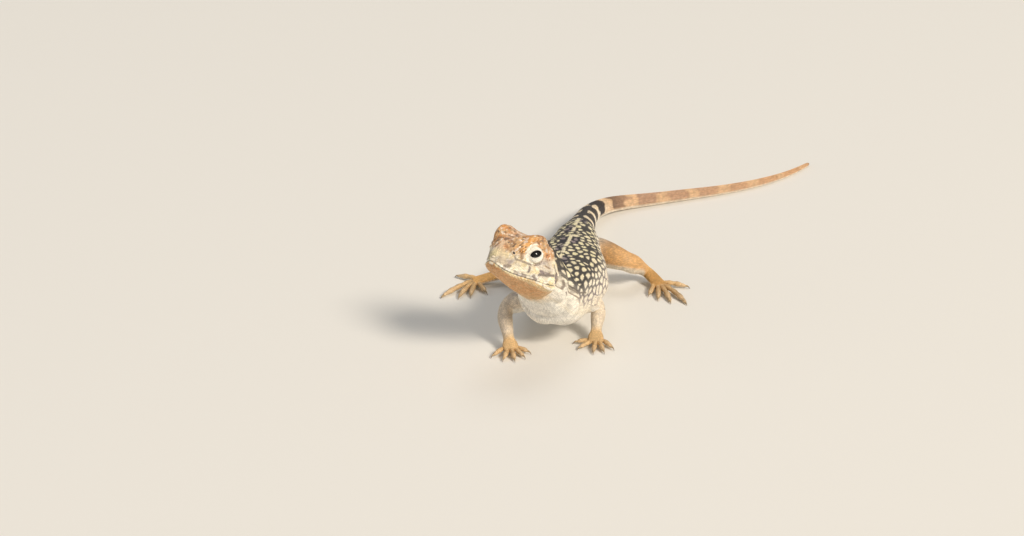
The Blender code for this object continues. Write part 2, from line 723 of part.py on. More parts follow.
def main():
    for thing in list(bpy.data.objects):
        bpy.data.objects.remove(thing)
    dragon = bpy.data.collections.new("netted_dragon")
    bpy.context.scene.collection.children.link(dragon)
    angles = around_angles(36)

    shares = np.linspace(0, 1, 31) ** 1.3
    head_mesh = loft("head", head_to_world(head_sections(HEAD_LENGTH * shares[1:], angles)), SNOUT_TIP)
    head_mesh = combined(head_mesh, [lid_ball(side) for side in (1, -1)], "UNION")
    hollows = []
    for side in (1, -1):
        hollows.append(eye_ball(side, GAP))
        hollows.append(lid_opening(side))
        hollows.append(head_hollow("ear", EAR_AT, EAR_OUT, EAR_SIZES, side))
        hollows.append(head_hollow("nostril", NOSTRIL_AT, NOSTRIL_OUT, NOSTRIL_SIZES, side))
    head_mesh = combined(head_mesh, hollows, "DIFFERENCE")
    add_object("head", head_mesh, "crown", dragon)
    for side, name in ((1, "eye_left"), (-1, "eye_right")):
        add_object(name, eye_ball(side, 0.0), "eye", dragon)
    neck = neck_rings(np.linspace(0.97, 0.03, 9), angles)
    neck_row = spine_row(neck, angles, 0.0, (0.14, 0.35, 0.56, 0.77), CREST_TALL, CREST_WIDTH)
    for turn in (0.9, 2 * math.pi - 0.9):
        neck_row += spine_row(neck, angles, turn, (0.16, 0.42, 0.68), CREST_TALL * 0.8, CREST_WIDTH * 0.9)
    add_object("neck", combined(loft("neck", neck), neck_row, "UNION"), "net", dragon)
    spans = {
        "torso": (BODY_KEYS[0], TRUNK_LENGTH, 22, "net"),
        "tail_base": (TRUNK_LENGTH + GAP, TRUNK_LENGTH + 42, 12, "net"),
        "tail_middle": (TRUNK_LENGTH + 42 + GAP, TRUNK_LENGTH + 88, 12, "skin"),
        "tail_tip": (TRUNK_LENGTH + 88 + GAP, TRUNK_LENGTH + TAIL_LENGTH, 10, "skin"),
    }
    for name, (first, last, count, colour) in spans.items():
        rings = body_rings(np.linspace(first, last, count), angles)
        mesh = loft(name, rings)
        if name == "torso":
            along = (0.035, 0.085, 0.135, 0.185, 0.235)
            row = spine_row(rings, angles, 0.0, along, CREST_TALL * 0.8, CREST_WIDTH)
            mesh = combined(mesh, row, "UNION")
        add_object(name, mesh, colour, dragon)

    grown = np.concatenate(
        [
            neck_rings(np.linspace(0.9, 0.03, 8), angles, GAP),
            body_rings(np.linspace(BODY_KEYS[0], 90, 40), angles, GAP),
        ]
    )
    for key, leg in LEGS.items():
        side = 1 if key.endswith("left") else -1
        made = limb_meshes(key, leg, side, loft("cutter", grown))
        for name, mesh in zip(NODE_NAMES[key], made):
            add_object(name, mesh, "foot", dragon)

    stand_over_origin(list(dragon.objects))


main()
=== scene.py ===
# A central netted dragon at life size: one skin with its scales, lids, eyes, crest and claws.
# Lengths are in millimetres in the animal's own frame until a mesh is made. It faces -Y, its left is +X, and the
# floor is z = 0. "along" counts back from the shoulder, and a station counts back from the snout tip. A turn is a
# share of the way round: 0 on the back, 0.25 on the left, 0.5 on the belly.
import json
import math

import bpy
import numpy as np
from mathutils import Matrix, Vector
from mathutils.bvhtree import BVHTree
from mathutils.kdtree import KDTree

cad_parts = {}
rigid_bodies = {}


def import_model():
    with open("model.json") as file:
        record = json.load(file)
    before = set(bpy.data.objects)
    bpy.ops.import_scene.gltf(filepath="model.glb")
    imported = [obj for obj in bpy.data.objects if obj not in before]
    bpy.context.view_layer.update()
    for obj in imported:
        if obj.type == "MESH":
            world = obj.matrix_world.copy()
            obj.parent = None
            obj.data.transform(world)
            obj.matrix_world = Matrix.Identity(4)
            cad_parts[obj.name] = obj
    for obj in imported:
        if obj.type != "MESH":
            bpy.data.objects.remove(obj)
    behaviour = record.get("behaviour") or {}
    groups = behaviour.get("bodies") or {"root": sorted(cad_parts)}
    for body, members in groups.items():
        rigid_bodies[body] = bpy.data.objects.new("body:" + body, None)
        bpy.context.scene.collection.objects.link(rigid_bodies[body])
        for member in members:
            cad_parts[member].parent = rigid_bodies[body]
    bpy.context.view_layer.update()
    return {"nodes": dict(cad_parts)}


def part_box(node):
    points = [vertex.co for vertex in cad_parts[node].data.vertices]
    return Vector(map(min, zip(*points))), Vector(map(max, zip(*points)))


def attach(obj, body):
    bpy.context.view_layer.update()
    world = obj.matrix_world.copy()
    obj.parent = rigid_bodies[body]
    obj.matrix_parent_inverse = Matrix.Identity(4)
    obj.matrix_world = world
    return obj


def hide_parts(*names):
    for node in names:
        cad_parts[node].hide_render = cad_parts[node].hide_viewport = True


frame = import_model()
mm = 0.001
print("frame loaded:", len(frame["nodes"]), "nodes")


# Curves, chance patterns and small helpers

def cubic(t):
    # A cubic's weights at a share from 0 to 1, for its first place, first slope, last place and last slope
    return 2 * t**3 - 3 * t**2 + 1, t**3 - 2 * t**2 + t, 3 * t**2 - 2 * t**3, t**3 - t**2


def ease(keys, values, at):
    # A cubic through the values at the keys, with the slopes of their neighbours
    keys = np.asarray(keys, float)
    values = np.asarray(values, float)
    at = np.clip(np.asarray(at, float), keys[0], keys[-1])
    slopes = np.gradient(values, keys)
    span = np.clip(np.searchsorted(keys, at, side="right") - 1, 0, len(keys) - 2)
    width = keys[span + 1] - keys[span]
    a, b, c, d = cubic((at - keys[span]) / width)
    return a * values[span] + b * width * slopes[span] + c * values[span + 1] + d * width * slopes[span + 1]


def ramp(value, low, high):
    # 0 up to low and 1 from high on, with a smooth S between; low may be the larger one
    t = np.clip((value - low) / (high - low), 0, 1)
    return t * t * (3 - 2 * t)


def hashed(i, j, seed):
    # A repeatable number from 0 to 1 for each pair: the fraction of a large multiple of a sine
    wave = np.sin(i * 127.1 + j * 311.7 + seed * 74.7) * 43758.5453
    return wave - np.floor(wave)


def cells(x, y, seed, loose=0.7):
    # One loose point in each unit square: distances to the nearest two, and the nearest one's number
    column = np.floor(x)
    row = np.floor(y)
    first = np.full(x.shape, 9.0)
    second = np.full(x.shape, 9.0)
    number = np.zeros(x.shape)
    for i in (-1, 0, 1):
        for j in (-2, -1, 0, 1, 2):
            px = column + i + 0.5 + loose * (hashed(column + i, row + j, seed) - 0.5)
            py = row + j + 0.5 + loose * (hashed(column + i, row + j, seed + 1) - 0.5)
            py = py + 0.5 * ((column + i) % 2)
            away = np.hypot(px - x, py - y)
            nearer = away < first
            second = np.where(nearer, first, np.minimum(second, away))
            number = np.where(nearer, hashed(column + i, row + j, seed + 2), number)
            first = np.where(nearer, away, first)
    return first, second, number


def waves(x, y, seed):
    # Soft noise from 0 to 1: chance numbers at whole places, blended by an S curve each way
    i = np.floor(x)
    j = np.floor(y)
    u = ramp(x - i, 0, 1)
    v = ramp(y - j, 0, 1)
    low = hashed(i, j, seed) * (1 - u) + hashed(i + 1, j, seed) * u
    high = hashed(i, j + 1, seed) * (1 - u) + hashed(i + 1, j + 1, seed) * u
    return low * (1 - v) + high * v


def unit(vectors):
    # Each vector over its own length
    return vectors / np.maximum(np.linalg.norm(vectors, axis=-1, keepdims=True), 1e-9)


def onFloor(points, floor=0.0):
    # Lifts what would lie under the floor on to it
    points = np.array(points, float)
    points[..., 2] = np.maximum(points[..., 2], floor)
    return points


def turnsOf(count):
    # Even angles once round
    return np.linspace(0, 2 * math.pi, count, endpoint=False)


def sideOf(turn):
    # How far a turn lies from the back: 0 there, 0.25 along either side and 0.5 along the belly
    return np.abs((turn + 0.5) % 1 - 0.5)


# The head: rings at distances back from the snout tip, in the head's own axes

head = {
    "length": 22.5,
    "halfWidth": 10.0,
    "snoutHeight": 11.0,
    "jawDepth": 6.8,
    "jawBox": 1.5,
    "taper": 1.08,
    "turn": 28.5,
    "lift": 28.5,
    "tilt": -2.2,
    "tip": (-14.45, -29.1, 36.7),
    "mouthCorner": 15.5,
    "lipSlope": 1.3,
    "grooveDepth": 0.45,
    "grooveWidth": 0.16,
    "earAt": (19.0, 10.9, 1.2),
    "earSizes": (1.15, 1.75),
    "earDepth": 1.3,
    "nostrilAt": (3.3, 4.3, 4.3),
    "nostrilOut": (-0.55, 0.85, 0.3),
}
# Swellings and hollows: where, how far they reach, and which way the skin moves
headForms = {
    "snoutShoulder": ((5.4, 4.9, 7.8), (3.2, 2.4, 2.8), (-0.4, 1.5, 1.2)),
    "brow": ((8.1, 5.7, 9.6), (3.0, 1.9, 2.0), (-0.2, 1.1, 1.8)),
    "browRear": ((12.6, 6.4, 9.4), (3.0, 2.2, 2.4), (0.0, 0.4, 1.9)),
    "crownDip": ((9.0, 0.0, 10.0), (4.0, 2.6, 4.0), (0.0, 0.0, -1.1)),
    "rearCorner": ((20.0, 7.6, 7.6), (3.4, 3.4, 3.0), (0.0, -0.9, -0.7)),
    "napeDip": ((18.0, 0.0, 9.4), (3.4, 3.6, 4.0), (0.0, 0.0, -0.5)),
    "orbit": ((10.2, 7.6, 5.3), (3.2, 3.0, 3.0), (0.0, -0.7, 0.0)),
    "eyeFrontDip": ((5.9, 6.0, 3.8), (1.6, 2.4, 1.9), (0.0, -0.5, 0.0)),
    "nostrilSwelling": ((3.4, 3.7, 4.1), (1.4, 1.5, 1.3), (-0.2, 0.4, 0.2)),
    "muzzleSide": ((6.0, 5.6, -0.4), (3.4, 3.0, 2.2), (0.0, -1.3, 0.0)),
    "underEye": ((11.0, 8.6, 1.4), (4.0, 2.2, 1.2), (0.0, 0.5, 0.0)),
    "jawMuscle": ((17.0, 10.0, -2.6), (3.0, 3.0, 3.0), (0.0, 0.8, -0.2)),
    "cheek": ((18.8, 10.0, 1.0), (3.2, 3.0, 2.8), (0.0, 1.5, 0.0)),
    "temple": ((14.6, 8.8, 5.6), (2.6, 2.6, 2.0), (0.0, -0.6, 0.0)),
    "lowerLip": ((8.0, 8.0, -2.4), (6.0, 4.0, 1.1), (0.0, 0.3, 0.0)),
    "chinHollow": ((12.0, 5.5, -6.0), (6.0, 2.4, 2.0), (0.0, 0.0, 0.5)),
    # creases that only the skin has
    "underLidCrease": ((10.6, 8.4, 2.4), (2.4, 2.4, 0.42), (0.0, -0.45, 0.0)),
    "frontCornerCrease": ((6.2, 6.2, 4.6), (0.55, 2.0, 1.0), (0.0, -0.4, 0.0)),
    "cheekFold": ((15.6, 9.6, 1.6), (1.9, 2.4, 0.5), (0.0, -0.55, 0.0)),
    "cheekPad": ((15.4, 9.8, 2.9), (1.9, 2.4, 0.8), (0.0, 0.35, 0.0)),
}


def headAxes():
    # Forward, left and up as rows, turned to the animal's right, lifted, and tilted about the snout's line
    turn, lift, tilt = (math.radians(head[key]) for key in ("turn", "lift", "tilt"))
    forward = Vector((-math.sin(turn) * math.cos(lift), -math.cos(turn) * math.cos(lift), math.sin(lift)))
    left = Vector((0, 0, 1)).cross(forward).normalized()
    level = Matrix((forward, left, forward.cross(left))).transposed()
    return np.array((level @ Matrix.Rotation(tilt, 3, "X")).transposed())


def fromHead(points):
    # World place of head places (back, left, up)
    forward, left, up = headAxes()
    points = np.asarray(points, float)
    return np.array(head["tip"]) - points[..., :1] * forward + points[..., 1:2] * left + points[..., 2:] * up


def section(angle, halfWidth, up, down, side, box, boxBelow):
    # A rounded box: sine and cosine of the angle to the power 2 / box, where 2 is an ellipse and more is squarer
    sine = np.sin(angle)
    cosine = np.cos(angle)
    power = 2 / np.where(cosine > 0, box, boxBelow)
    left = halfWidth * np.sign(sine) * np.abs(sine) ** power
    height = np.abs(cosine) ** power
    return left, np.where(cosine > 0, side + (up - side) * height, side - (down + side) * height)


def snoutCurve(back, end, length, front):
    # Rises steeply from 0 at the tip to end at length: the root of one less (one less the share) to a power
    share = np.clip(np.asarray(back, float) / length, 0, 1)
    return end * np.sqrt(1 - (1 - share) ** front)


def lipHeight(back):
    # The mouth line's height by the distance back from the snout: it falls along the lip and rises behind its corner
    corner = head["mouthCorner"]
    heights = (0, -0.5, -1.0, -1.45, -1.5, -1.4, -head["lipSlope"], -1.1, -0.2)
    return ease((0, 0.7, 2, 5, 8, 11, corner, 19, 24), heights, back)


def shaped(points, forms):
    # Each form moves the points by its push times a bell of their distance from it, alike on both sides
    out = np.abs(points[..., 1])
    side = np.tanh(points[..., 1] / 0.3)
    moved = points.copy()
    for at, reach, push in forms.values():
        away = (
            ((points[..., 0] - at[0]) / reach[0]) ** 2
            + ((out - at[1]) / reach[1]) ** 2
            + ((points[..., 2] - at[2]) / reach[2]) ** 2
        )
        bell = np.exp(-away)
        moved[..., 0] += bell * push[0]
        moved[..., 1] += bell * push[1] * side
        moved[..., 2] += bell * push[2]
    return moved


def earAway(local):
    # How far a head place lies from the middle of the ear's ellipse, whose edge is at 1
    back = (local[..., 0] - head["earAt"][0]) / head["earSizes"][0]
    up = (local[..., 2] - head["earAt"][2]) / head["earSizes"][1]
    return np.where(np.abs(local[..., 1]) > 6, np.hypot(back, up), 99.0)


def onLeft(local):
    # Head places of both sides, as if all lay on the left
    return np.stack([local[..., 0], np.abs(local[..., 1]), local[..., 2]], axis=-1)


def headRings(back, angles):
    # Sections of the head with the mouth's groove, the forms and the ear cup
    back = np.asarray(back, float)[:, None]
    angles = angles[None, :]
    width = snoutCurve(back, head["halfWidth"], 19.0, head["taper"])
    width = width - ease((0, 18.5, 22.5, 26), (0, 0, 1.2, 2.0), back)
    top = snoutCurve(back, head["snoutHeight"], 11.0, 1.6) - ease((0, 13, 19, 24), (0, 0, 0.5, 1.5), back)
    bottom = snoutCurve(back, head["jawDepth"], 23.0, 1.2)
    lip = lipHeight(back)
    box = ease((0, 4, 8, 18, 26), (2.0, 2.4, 2.9, 2.7, 2.3), back)
    below = ease((0, 4, 9, 17, 26), (2.0, 1.9, head["jawBox"], 1.9, 2.2), back)
    left, up = section(angles, width, top, bottom, lip, box, below)
    points = np.stack([np.broadcast_to(back, left.shape), left, up], axis=-1)
    mouth = np.clip((head["mouthCorner"] + 0.8 - back) / 1.5, 0, 1) * np.clip(back / 0.8, 0, 1)
    groove = head["grooveDepth"] * mouth * np.exp(-(((up - lip) / head["grooveWidth"]) ** 2))
    points[..., 1] -= np.tanh(left / 0.3) * groove
    points = shaped(points, headForms)
    points[..., 1] -= np.tanh(points[..., 1] / 0.3) * head["earDepth"] * ramp(earAway(points), 1.1, 0.75)
    return points


# The trunk and tail: rings along one line that starts at the shoulder

body = {
    "trunk": 59.0,
    "tail": 132.0,
    "keys": (-4, 2, 10, 18, 26, 35, 43, 50, 57, 64, 74, 88, 102, 116, 140, 168, 191),
    "height": (16.8, 15.9, 14.6, 13.8, 13.2, 12.8, 12.6, 12.2, 11.3, 10.1, 8.2, 5.9, 4.0, 2.75, 1.9, 1.3, 0.75),
    "width": (9.6, 10.6, 12.3, 13.1, 11.9, 9.7, 8.0, 6.9, 5.8, 4.9, 4.2, 3.5, 2.75, 2.25, 1.75, 1.2, 0.65),
    "up": (8.0, 8.6, 8.9, 9.0, 8.6, 7.8, 7.0, 6.3, 5.5, 4.9, 4.2, 3.45, 2.7, 2.2, 1.7, 1.15, 0.6),
    "down": (9.0, 9.2, 8.9, 8.5, 8.0, 7.3, 6.8, 6.3, 5.7, 5.1, 4.4, 3.7, 3.0, 2.6, 1.95, 1.35, 0.8),
    "box": (2.5, 2.6, 2.5, 2.4, 2.35, 2.25, 2.2, 2.1, 2, 2, 2, 2, 2, 2, 2, 2, 2),
    "boxBelow": (2.7, 3.1, 3.1, 2.9, 2.7, 2.5, 2.3, 2.2, 2, 2, 2, 2, 2, 2, 2, 2, 2),
    "neckLength": 14.0,
    "neckSqueeze": 0.07,
    "neckPull": 0.9,
    "coat": 0.2,  # how far the skin lies inside the solids, which is the scales' depth
}
bodyForms = {
    "shoulderBlade": ((3.0, 8.0, 5.0), (5.0, 3.5, 4.0), (0.0, 0.7, 0.5)),
    "flankFold": ((28.0, 12.0, -3.0), (20.0, 4.0, 2.4), (0.0, 0.7, 0.0)),
    "hip": ((57.0, 7.0, 3.5), (5.0, 3.0, 3.0), (0.0, 0.6, 0.4)),
    "ridge": ((30.0, 0.0, 9.0), (40.0, 1.2, 3.0), (0.0, 0.0, 0.35)),
    "breast": ((0.0, 0.0, -8.0), (6.0, 6.0, 3.0), (0.0, 0.0, -0.3)),
}
# Folds of the skin on both sides: a line of (station, turn), its width, and its height, under 0 in a crease
folds = {
    "gular": (((31.0, 0.5), (30.5, 0.40), (29.0, 0.30)), 0.6, -0.7),
    "gularLip": (((33.0, 0.5), (32.4, 0.40), (30.8, 0.31)), 1.1, 0.35),
    "behindJaw": (((22.2, 0.17), (23.2, 0.24), (23.8, 0.30), (23.4, 0.36)), 0.8, -0.65),
    "neckPouch": (((25.6, 0.22), (26.4, 0.30)), 1.5, 1.1),
    "pouchCrease": (((28.2, 0.17), (28.6, 0.25), (27.6, 0.34)), 0.8, -0.6),
    "secondPouch": (((30.6, 0.19), (30.9, 0.26)), 1.2, 0.5),
    "shoulderFold": (((33.0, 0.13), (35.0, 0.20), (36.0, 0.28), (35.5, 0.36)), 0.95, -0.65),
    "breastLobe": (((38.0, 0.44), (40.5, 0.40)), 2.2, 0.5),
    "breastCrease": (((34.5, 0.5), (40.0, 0.5), (46.0, 0.5)), 0.8, -0.4),
    "mouthFold": (((15.6, 0.25), (18.5, 0.248), (21.5, 0.252), (24.3, 0.26)), 0.35, -0.5),
    "jawRidge": (((16.0, 0.268), (20.0, 0.272), (24.5, 0.285)), 0.55, 0.35),
    "headRear": (((20.4, 0.05), (20.8, 0.10), (22.2, 0.128), (23.0, 0.165)), 0.5, -0.6),
    "muzzle": (((3.8, 0.135), (4.5, 0.17), (6.0, 0.183), (8.0, 0.192), (9.6, 0.194)), 0.28, -0.3),
    "overEye": (((8.2, 0.118), (9.4, 0.106), (10.8, 0.112)), 0.35, -0.3),
}


def heading(along):
    # The way the body line points, in degrees from +Y towards +X, so that the tail bends to the left
    end = body["trunk"]
    tail = end + body["tail"]
    return ease(
        (-10, 20, 35, 50, end, end + 14, end + 30, end + 43, end + 54, end + 76, tail),
        (0, 0, -2, -4, -4, -2, 1, 18, 48, 58, 24),
        along,
    )


def bodyLine(along):
    # The heading summed up step by step, at the height of each place
    steps = np.linspace(-10, body["trunk"] + body["tail"], 800)
    turn = np.radians(heading(steps))
    step = steps[1] - steps[0]
    x = np.cumsum(np.sin(turn)) * step
    y = np.cumsum(np.cos(turn)) * step
    zero = np.searchsorted(steps, 0)
    x = np.interp(along, steps, x - x[zero])
    y = np.interp(along, steps, y - y[zero])
    return np.stack([x, y, ease(body["keys"], body["height"], along)], axis=-1)


def bodyAxes(along):
    # Forward, left and up at each place of the body line
    ahead = bodyLine(np.asarray(along) - 0.6)
    behind = bodyLine(np.asarray(along) + 0.6)
    forward = unit(ahead - behind)
    left = unit(np.cross((0.0, 0.0, 1.0), forward))
    return forward, left, np.cross(forward, left)


def bodyRings(along, angles):
    # Rounded boxes of the body's widths and heights, set across the body line; returns places and their (left, up)
    along = np.asarray(along, float)
    sizes = [ease(body["keys"], body[key], along)[:, None] for key in ("width", "up", "down", "box", "boxBelow")]
    coat = body["coat"]
    left, up = section(angles[None, :], sizes[0] - coat, sizes[1] - coat, sizes[2] - coat, 0.0, sizes[3], sizes[4])
    local = np.stack([np.broadcast_to(along[:, None], left.shape), left, up], axis=-1)
    local = shaped(local, bodyForms)
    _, leftAxis, upAxis = bodyAxes(along)
    points = bodyLine(along)[:, None] + local[..., 1:2] * leftAxis[:, None] + local[..., 2:] * upAxis[:, None]
    return onFloor(points, coat), local


def neckRings(share, angles):
    # From the head's last ring (share 0) to the body's first (share 1), on a curve that leaves both squarely
    start = float(body["keys"][0])
    first, _ = bodyRings([start], angles)
    last = fromHead(headRings([head["length"]], angles))[0]
    origin = bodyLine(np.array([start]))[0]
    end = fromHead(np.array([head["length"], 0.0, 0.8]))
    axes = np.array(bodyAxes(np.array([start])))[:, 0]
    headWays = headAxes()
    pull = body["neckPull"] * np.linalg.norm(end - origin)
    firstFlat = (first[0] - origin) @ axes.T
    lastFlat = (last - end) @ headWays.T
    bodyTurn = Matrix(axes.T.tolist()).to_quaternion()
    headTurn = Matrix(headWays.T.tolist()).to_quaternion()
    rings = []
    flats = []
    for t in 1 - np.asarray(share, float):
        mix = ramp(t, 0, 1)
        a, b, c, d = cubic(t)
        centre = a * origin + b * axes[0] * pull + c * end + d * headWays[0] * pull
        turn = np.array(bodyTurn.slerp(headTurn, mix).to_matrix())
        flat = (1 - mix) * firstFlat + mix * lastFlat
        flat = flat * np.array([1.0, 1 - body["neckSqueeze"] * math.sin(math.pi * t), 1.0])
        rings.append(centre + flat @ turn.T)
        flats.append(flat)
    return np.array(rings), np.array(flats)


# Tables: a surface read off at even places, with its outward and backward ways

def evenRing(grids, columns):
    # Moves the points round each ring to even steps of its length in each quarter, top, left, bottom and right
    quarter = grids[0].shape[1] // 4
    share = np.linspace(0, 1, columns // 4, endpoint=False)
    done = [np.empty((len(g), columns, g.shape[-1])) for g in grids]
    closed = [np.concatenate([g, g[:, :1]], axis=1) for g in grids]
    for row in range(len(grids[0])):
        for part in range(4):
            run = slice(part * quarter, (part + 1) * quarter + 1)
            steps = np.linalg.norm(np.diff(closed[0][row, run], axis=0), axis=1) + 1e-9
            length = np.concatenate([[0], np.cumsum(steps)])
            at = share * length[-1]
            into = slice(part * columns // 4, (part + 1) * columns // 4)
            for grid, out in zip(closed, done):
                for k in range(grid.shape[-1]):
                    out[row, into, k] = np.interp(at, length, grid[row, run, k])
    return done


def makeTable(points, stations, local=None):
    # Backward way and speed from the change along the rows, outward way from its cross product with the change round
    along = np.gradient(points, axis=0)
    around = (np.roll(points, -1, axis=1) - np.roll(points, 1, axis=1)) / 2
    normal = unit(np.cross(along, around))
    centre = points.mean(axis=1, keepdims=True)
    hand = 1.0 if np.sum(normal * (points - centre)) > 0 else -1.0
    normal = normal * hand
    steps = np.linalg.norm(np.roll(points, -1, axis=1) - points, axis=-1)
    speed = np.linalg.norm(along, axis=-1)
    return {
        "points": points,
        "normals": normal,
        "hand": hand,
        "backs": unit(along - np.sum(along * normal, axis=-1, keepdims=True) * normal),
        "speed": speed,
        "arc": np.concatenate([np.zeros((len(points), 1)), np.cumsum(steps, axis=1)], axis=1),
        "length": np.concatenate([[0], np.cumsum((speed[1:] + speed[:-1]).mean(axis=1) / 2)]),
        "stations": np.asarray(stations, float),
        "local": points if local is None else local,
    }


def read(table, key, row, turn):
    # Bilinear reading of one of the table's grids at part rows and turns from 0 to 1
    grid = table[key]
    rows, columns = grid.shape[:2]
    row = np.clip(row, 0, rows - 1.001)
    i = row.astype(int)
    share = row - i
    place = (turn % 1.0) * columns
    j = place.astype(int) % columns
    part = place - np.floor(place)
    if grid.ndim == 3:
        share = share[:, None]
        part = part[:, None]
    k = (j + 1) % columns
    low = grid[i, j] * (1 - part) + grid[i, k] * part
    high = grid[i + 1, j] * (1 - part) + grid[i + 1, k] * part
    return low * (1 - share) + high * share


ringCounts = {"quarter": 100, "columns": 144, "head": 88, "neck": 36, "tail": 176}


def trunkTable():
    # Head, neck, trunk and tail as one run of rings, with the folds pressed in along the outward way
    quarter = (1 - np.cos(np.linspace(0, math.pi, ringCounts["quarter"], endpoint=False))) * math.pi / 4
    angles = np.concatenate([quarter + k * math.pi / 2 for k in range(4)])
    back = head["length"] * np.linspace(0, 1, ringCounts["head"])[1:] ** 1.45
    share = np.linspace(0, 1, ringCounts["neck"])[1:-1]
    first, last = body["keys"][0], body["keys"][-1]
    tail = np.linspace(body["trunk"], last, ringCounts["tail"])
    along = np.concatenate([np.arange(first, body["trunk"], 0.5), tail])
    headLocal = headRings(back, angles)
    neckPoints, neckLocal = neckRings(share, angles)
    bodyPoints, bodyLocal = bodyRings(along, angles)
    points = np.concatenate([fromHead(headLocal), neckPoints, bodyPoints])
    local = np.concatenate([headLocal, neckLocal, bodyLocal])
    stations = np.concatenate([back, head["length"] + share * body["neckLength"], bodyStart + along])
    points, local = evenRing([points, local], ringCounts["columns"])
    table = makeTable(points, stations, local)
    inset = np.where(stations < head["length"], body["coat"], 0)[:, None] * np.ones(ringCounts["columns"])
    table["points"] = points + table["normals"] * (foldDepth(table) - inset)[..., None]
    return makeTable(onFloor(table["points"], 0.1), stations, local)


def lineAway(line, stations, side, girth):
    # The least distance in mm to a line of (station, turn), where a turn's length is its share of the girth
    nearest = np.full(side.shape, 99.0)
    for (s0, v0), (s1, v1) in zip(line, line[1:]):
        runS, runV = s1 - s0, (v1 - v0) * girth
        t = ((stations - s0) * runS + (side - v0) * girth * runV) / (runS**2 + runV**2 + 1e-9)
        t = np.clip(t, 0, 1)
        nearest = np.minimum(nearest, np.hypot(stations - s0 - t * runS, (side - v0) * girth - t * runV))
    return nearest


def foldDepth(table):
    # The sum over the folds of height times a bell of the distance to the fold's line
    columns = table["points"].shape[1]
    depth = np.zeros((len(table["points"]), columns))
    side = sideOf(np.arange(columns) / columns)[None, :] + depth
    for line, width, height in folds.values():
        away = lineAway(line, table["stations"][:, None], side, table["arc"][:, -1:])
        depth += height * np.exp(-((away / width) ** 2))
    return depth


bodyStart = head["length"] + body["neckLength"] - body["keys"][0]  # the station of the shoulder
trunk = trunkTable()
print("trunk surface:", trunk["points"].shape)


# Legs: a tube from inside the body to the knuckles, and five digits

limb = {
    "bend": 0.42,  # how much of each bone's length a bend takes
    "sizesAt": (0.0, 0.5, 0.85, 1.1, 1.4, 1.8, 2.0, 2.4, 3.0),  # the joint numbers of the legs' sizes
    "rings": 96,
    "around": 40,
    "knuckleSpread": 1.8,
    "setBacks": (1.5, 0.9, 0.7, 0.9, 1.9),  # how far behind the knuckles' middle each digit leaves
    "digitRings": 44,
    "digitAround": 14,
    "knuckleSwell": 0.09,
    "claw": 1.5,
    "coat": 0.14,
}
frontLeg = {
    "width": (4.3, 3.5, 2.7, 2.3, 2.25, 1.75, 1.65, 2.3, 2.3),
    "height": (4.3, 3.5, 2.7, 2.4, 2.25, 1.75, 1.55, 1.3, 0.95),
    "lengths": (3.0, 4.2, 5.2, 5.0, 4.2),
    "radius": 0.72,
    "knuckles": (1, 2, 3, 3, 2),
    "pitch": ((0, 1, 2, 3), (0.52, 0.5, 0.44, 0.44)),
}
hindLeg = {
    "width": (4.6, 4.3, 3.6, 3.1, 3.0, 2.1, 1.9, 2.1, 2.3),
    "height": (4.4, 4.1, 3.5, 3.1, 3.0, 2.1, 1.75, 1.45, 1.1),
    "lengths": (4.6, 7.6, 10.4, 13.4, 6.4),
    "radius": 0.78,
    "knuckles": (1, 2, 3, 4, 3),
    "pitch": ((0, 1, 2, 3), (0.58, 0.54, 0.48, 0.44)),
}
# Each leg's joints, the ways that its digits point, in degrees from ahead, and how far they curl
legs = {
    "frontLeft": {
        "kind": frontLeg,
        "joints": ((7.0, 2.0, 13.6), (12.2, 8.0, 9.4), (12.1, 2.0, 3.3), (12.5, -1.8, 1.3)),
        "ways": (-82, -40, 2, 22, 44),
        "curl": 0.0,
    },
    "frontRight": {
        "kind": frontLeg,
        "joints": ((-7.0, 2.0, 13.6), (-15.9, 0.6, 9.8), (-12.7, -8.0, 3.2), (-11.4, -11.4, 1.3)),
        "ways": (-72, -44, -20, 2, 28),
        "curl": 8.0,
    },
    "hindLeft": {
        "kind": hindLeg,
        "joints": ((1.4, 51.9, 10.3), (15.6, 41.6, 10.6), (20.5, 53.0, 3.4), (26.4, 45.2, 1.45)),
        "ways": (-4, 12, 26, 40, 92),
        "curl": -16.0,
    },
    "hindRight": {
        "kind": hindLeg,
        "joints": ((-1.5, 52.4, 10.2), (-15.2, 39.4, 9.4), (-21.4, 44.0, 3.5), (-31.6, 39.4, 1.45)),
        "ways": (-30, 4, 18, 36, 118),
        "curl": -14.0,
    },
}


def bentLine(joints, count):
    # Straight between the joints, with a parabola through each bend; returns places and their joint numbers
    joints = np.asarray(joints, float)
    numbers = np.linspace(0, len(joints) - 1, count)
    lower = np.clip(numbers.astype(int), 0, len(joints) - 2)
    smooth = joints[lower] + (numbers - lower)[:, None] * (joints[lower + 1] - joints[lower])
    bend = limb["bend"]
    for number in range(1, len(joints) - 1):
        near = np.abs(numbers - number) < bend
        t = 0.5 + (numbers[near, None] - number) / (2 * bend)
        before = joints[number] + bend * (joints[number - 1] - joints[number])
        after = joints[number] + bend * (joints[number + 1] - joints[number])
        smooth[near] = (1 - t) ** 2 * before + 2 * t * (1 - t) * joints[number] + t**2 * after
    return smooth, numbers


def ringsRound(places, across, halfWidth, halfHeight, around):
    # Ellipses across a line. The last lies along the given way, and each one before follows it with the least turn
    ways = unit(np.gradient(places, axis=0))
    sides = np.empty_like(places)
    side = np.asarray(across, float)
    for k in range(len(places) - 1, -1, -1):
        side = unit(side - (side @ ways[k]) * ways[k])
        sides[k] = side
    over = np.cross(sides, ways)
    turns = turnsOf(around)
    return (
        places[:, None, :]
        + np.cos(turns)[None, :, None] * sides[:, None, :] * np.asarray(halfWidth)[:, None, None]
        + np.sin(turns)[None, :, None] * over[:, None, :] * np.asarray(halfHeight)[:, None, None]
    )


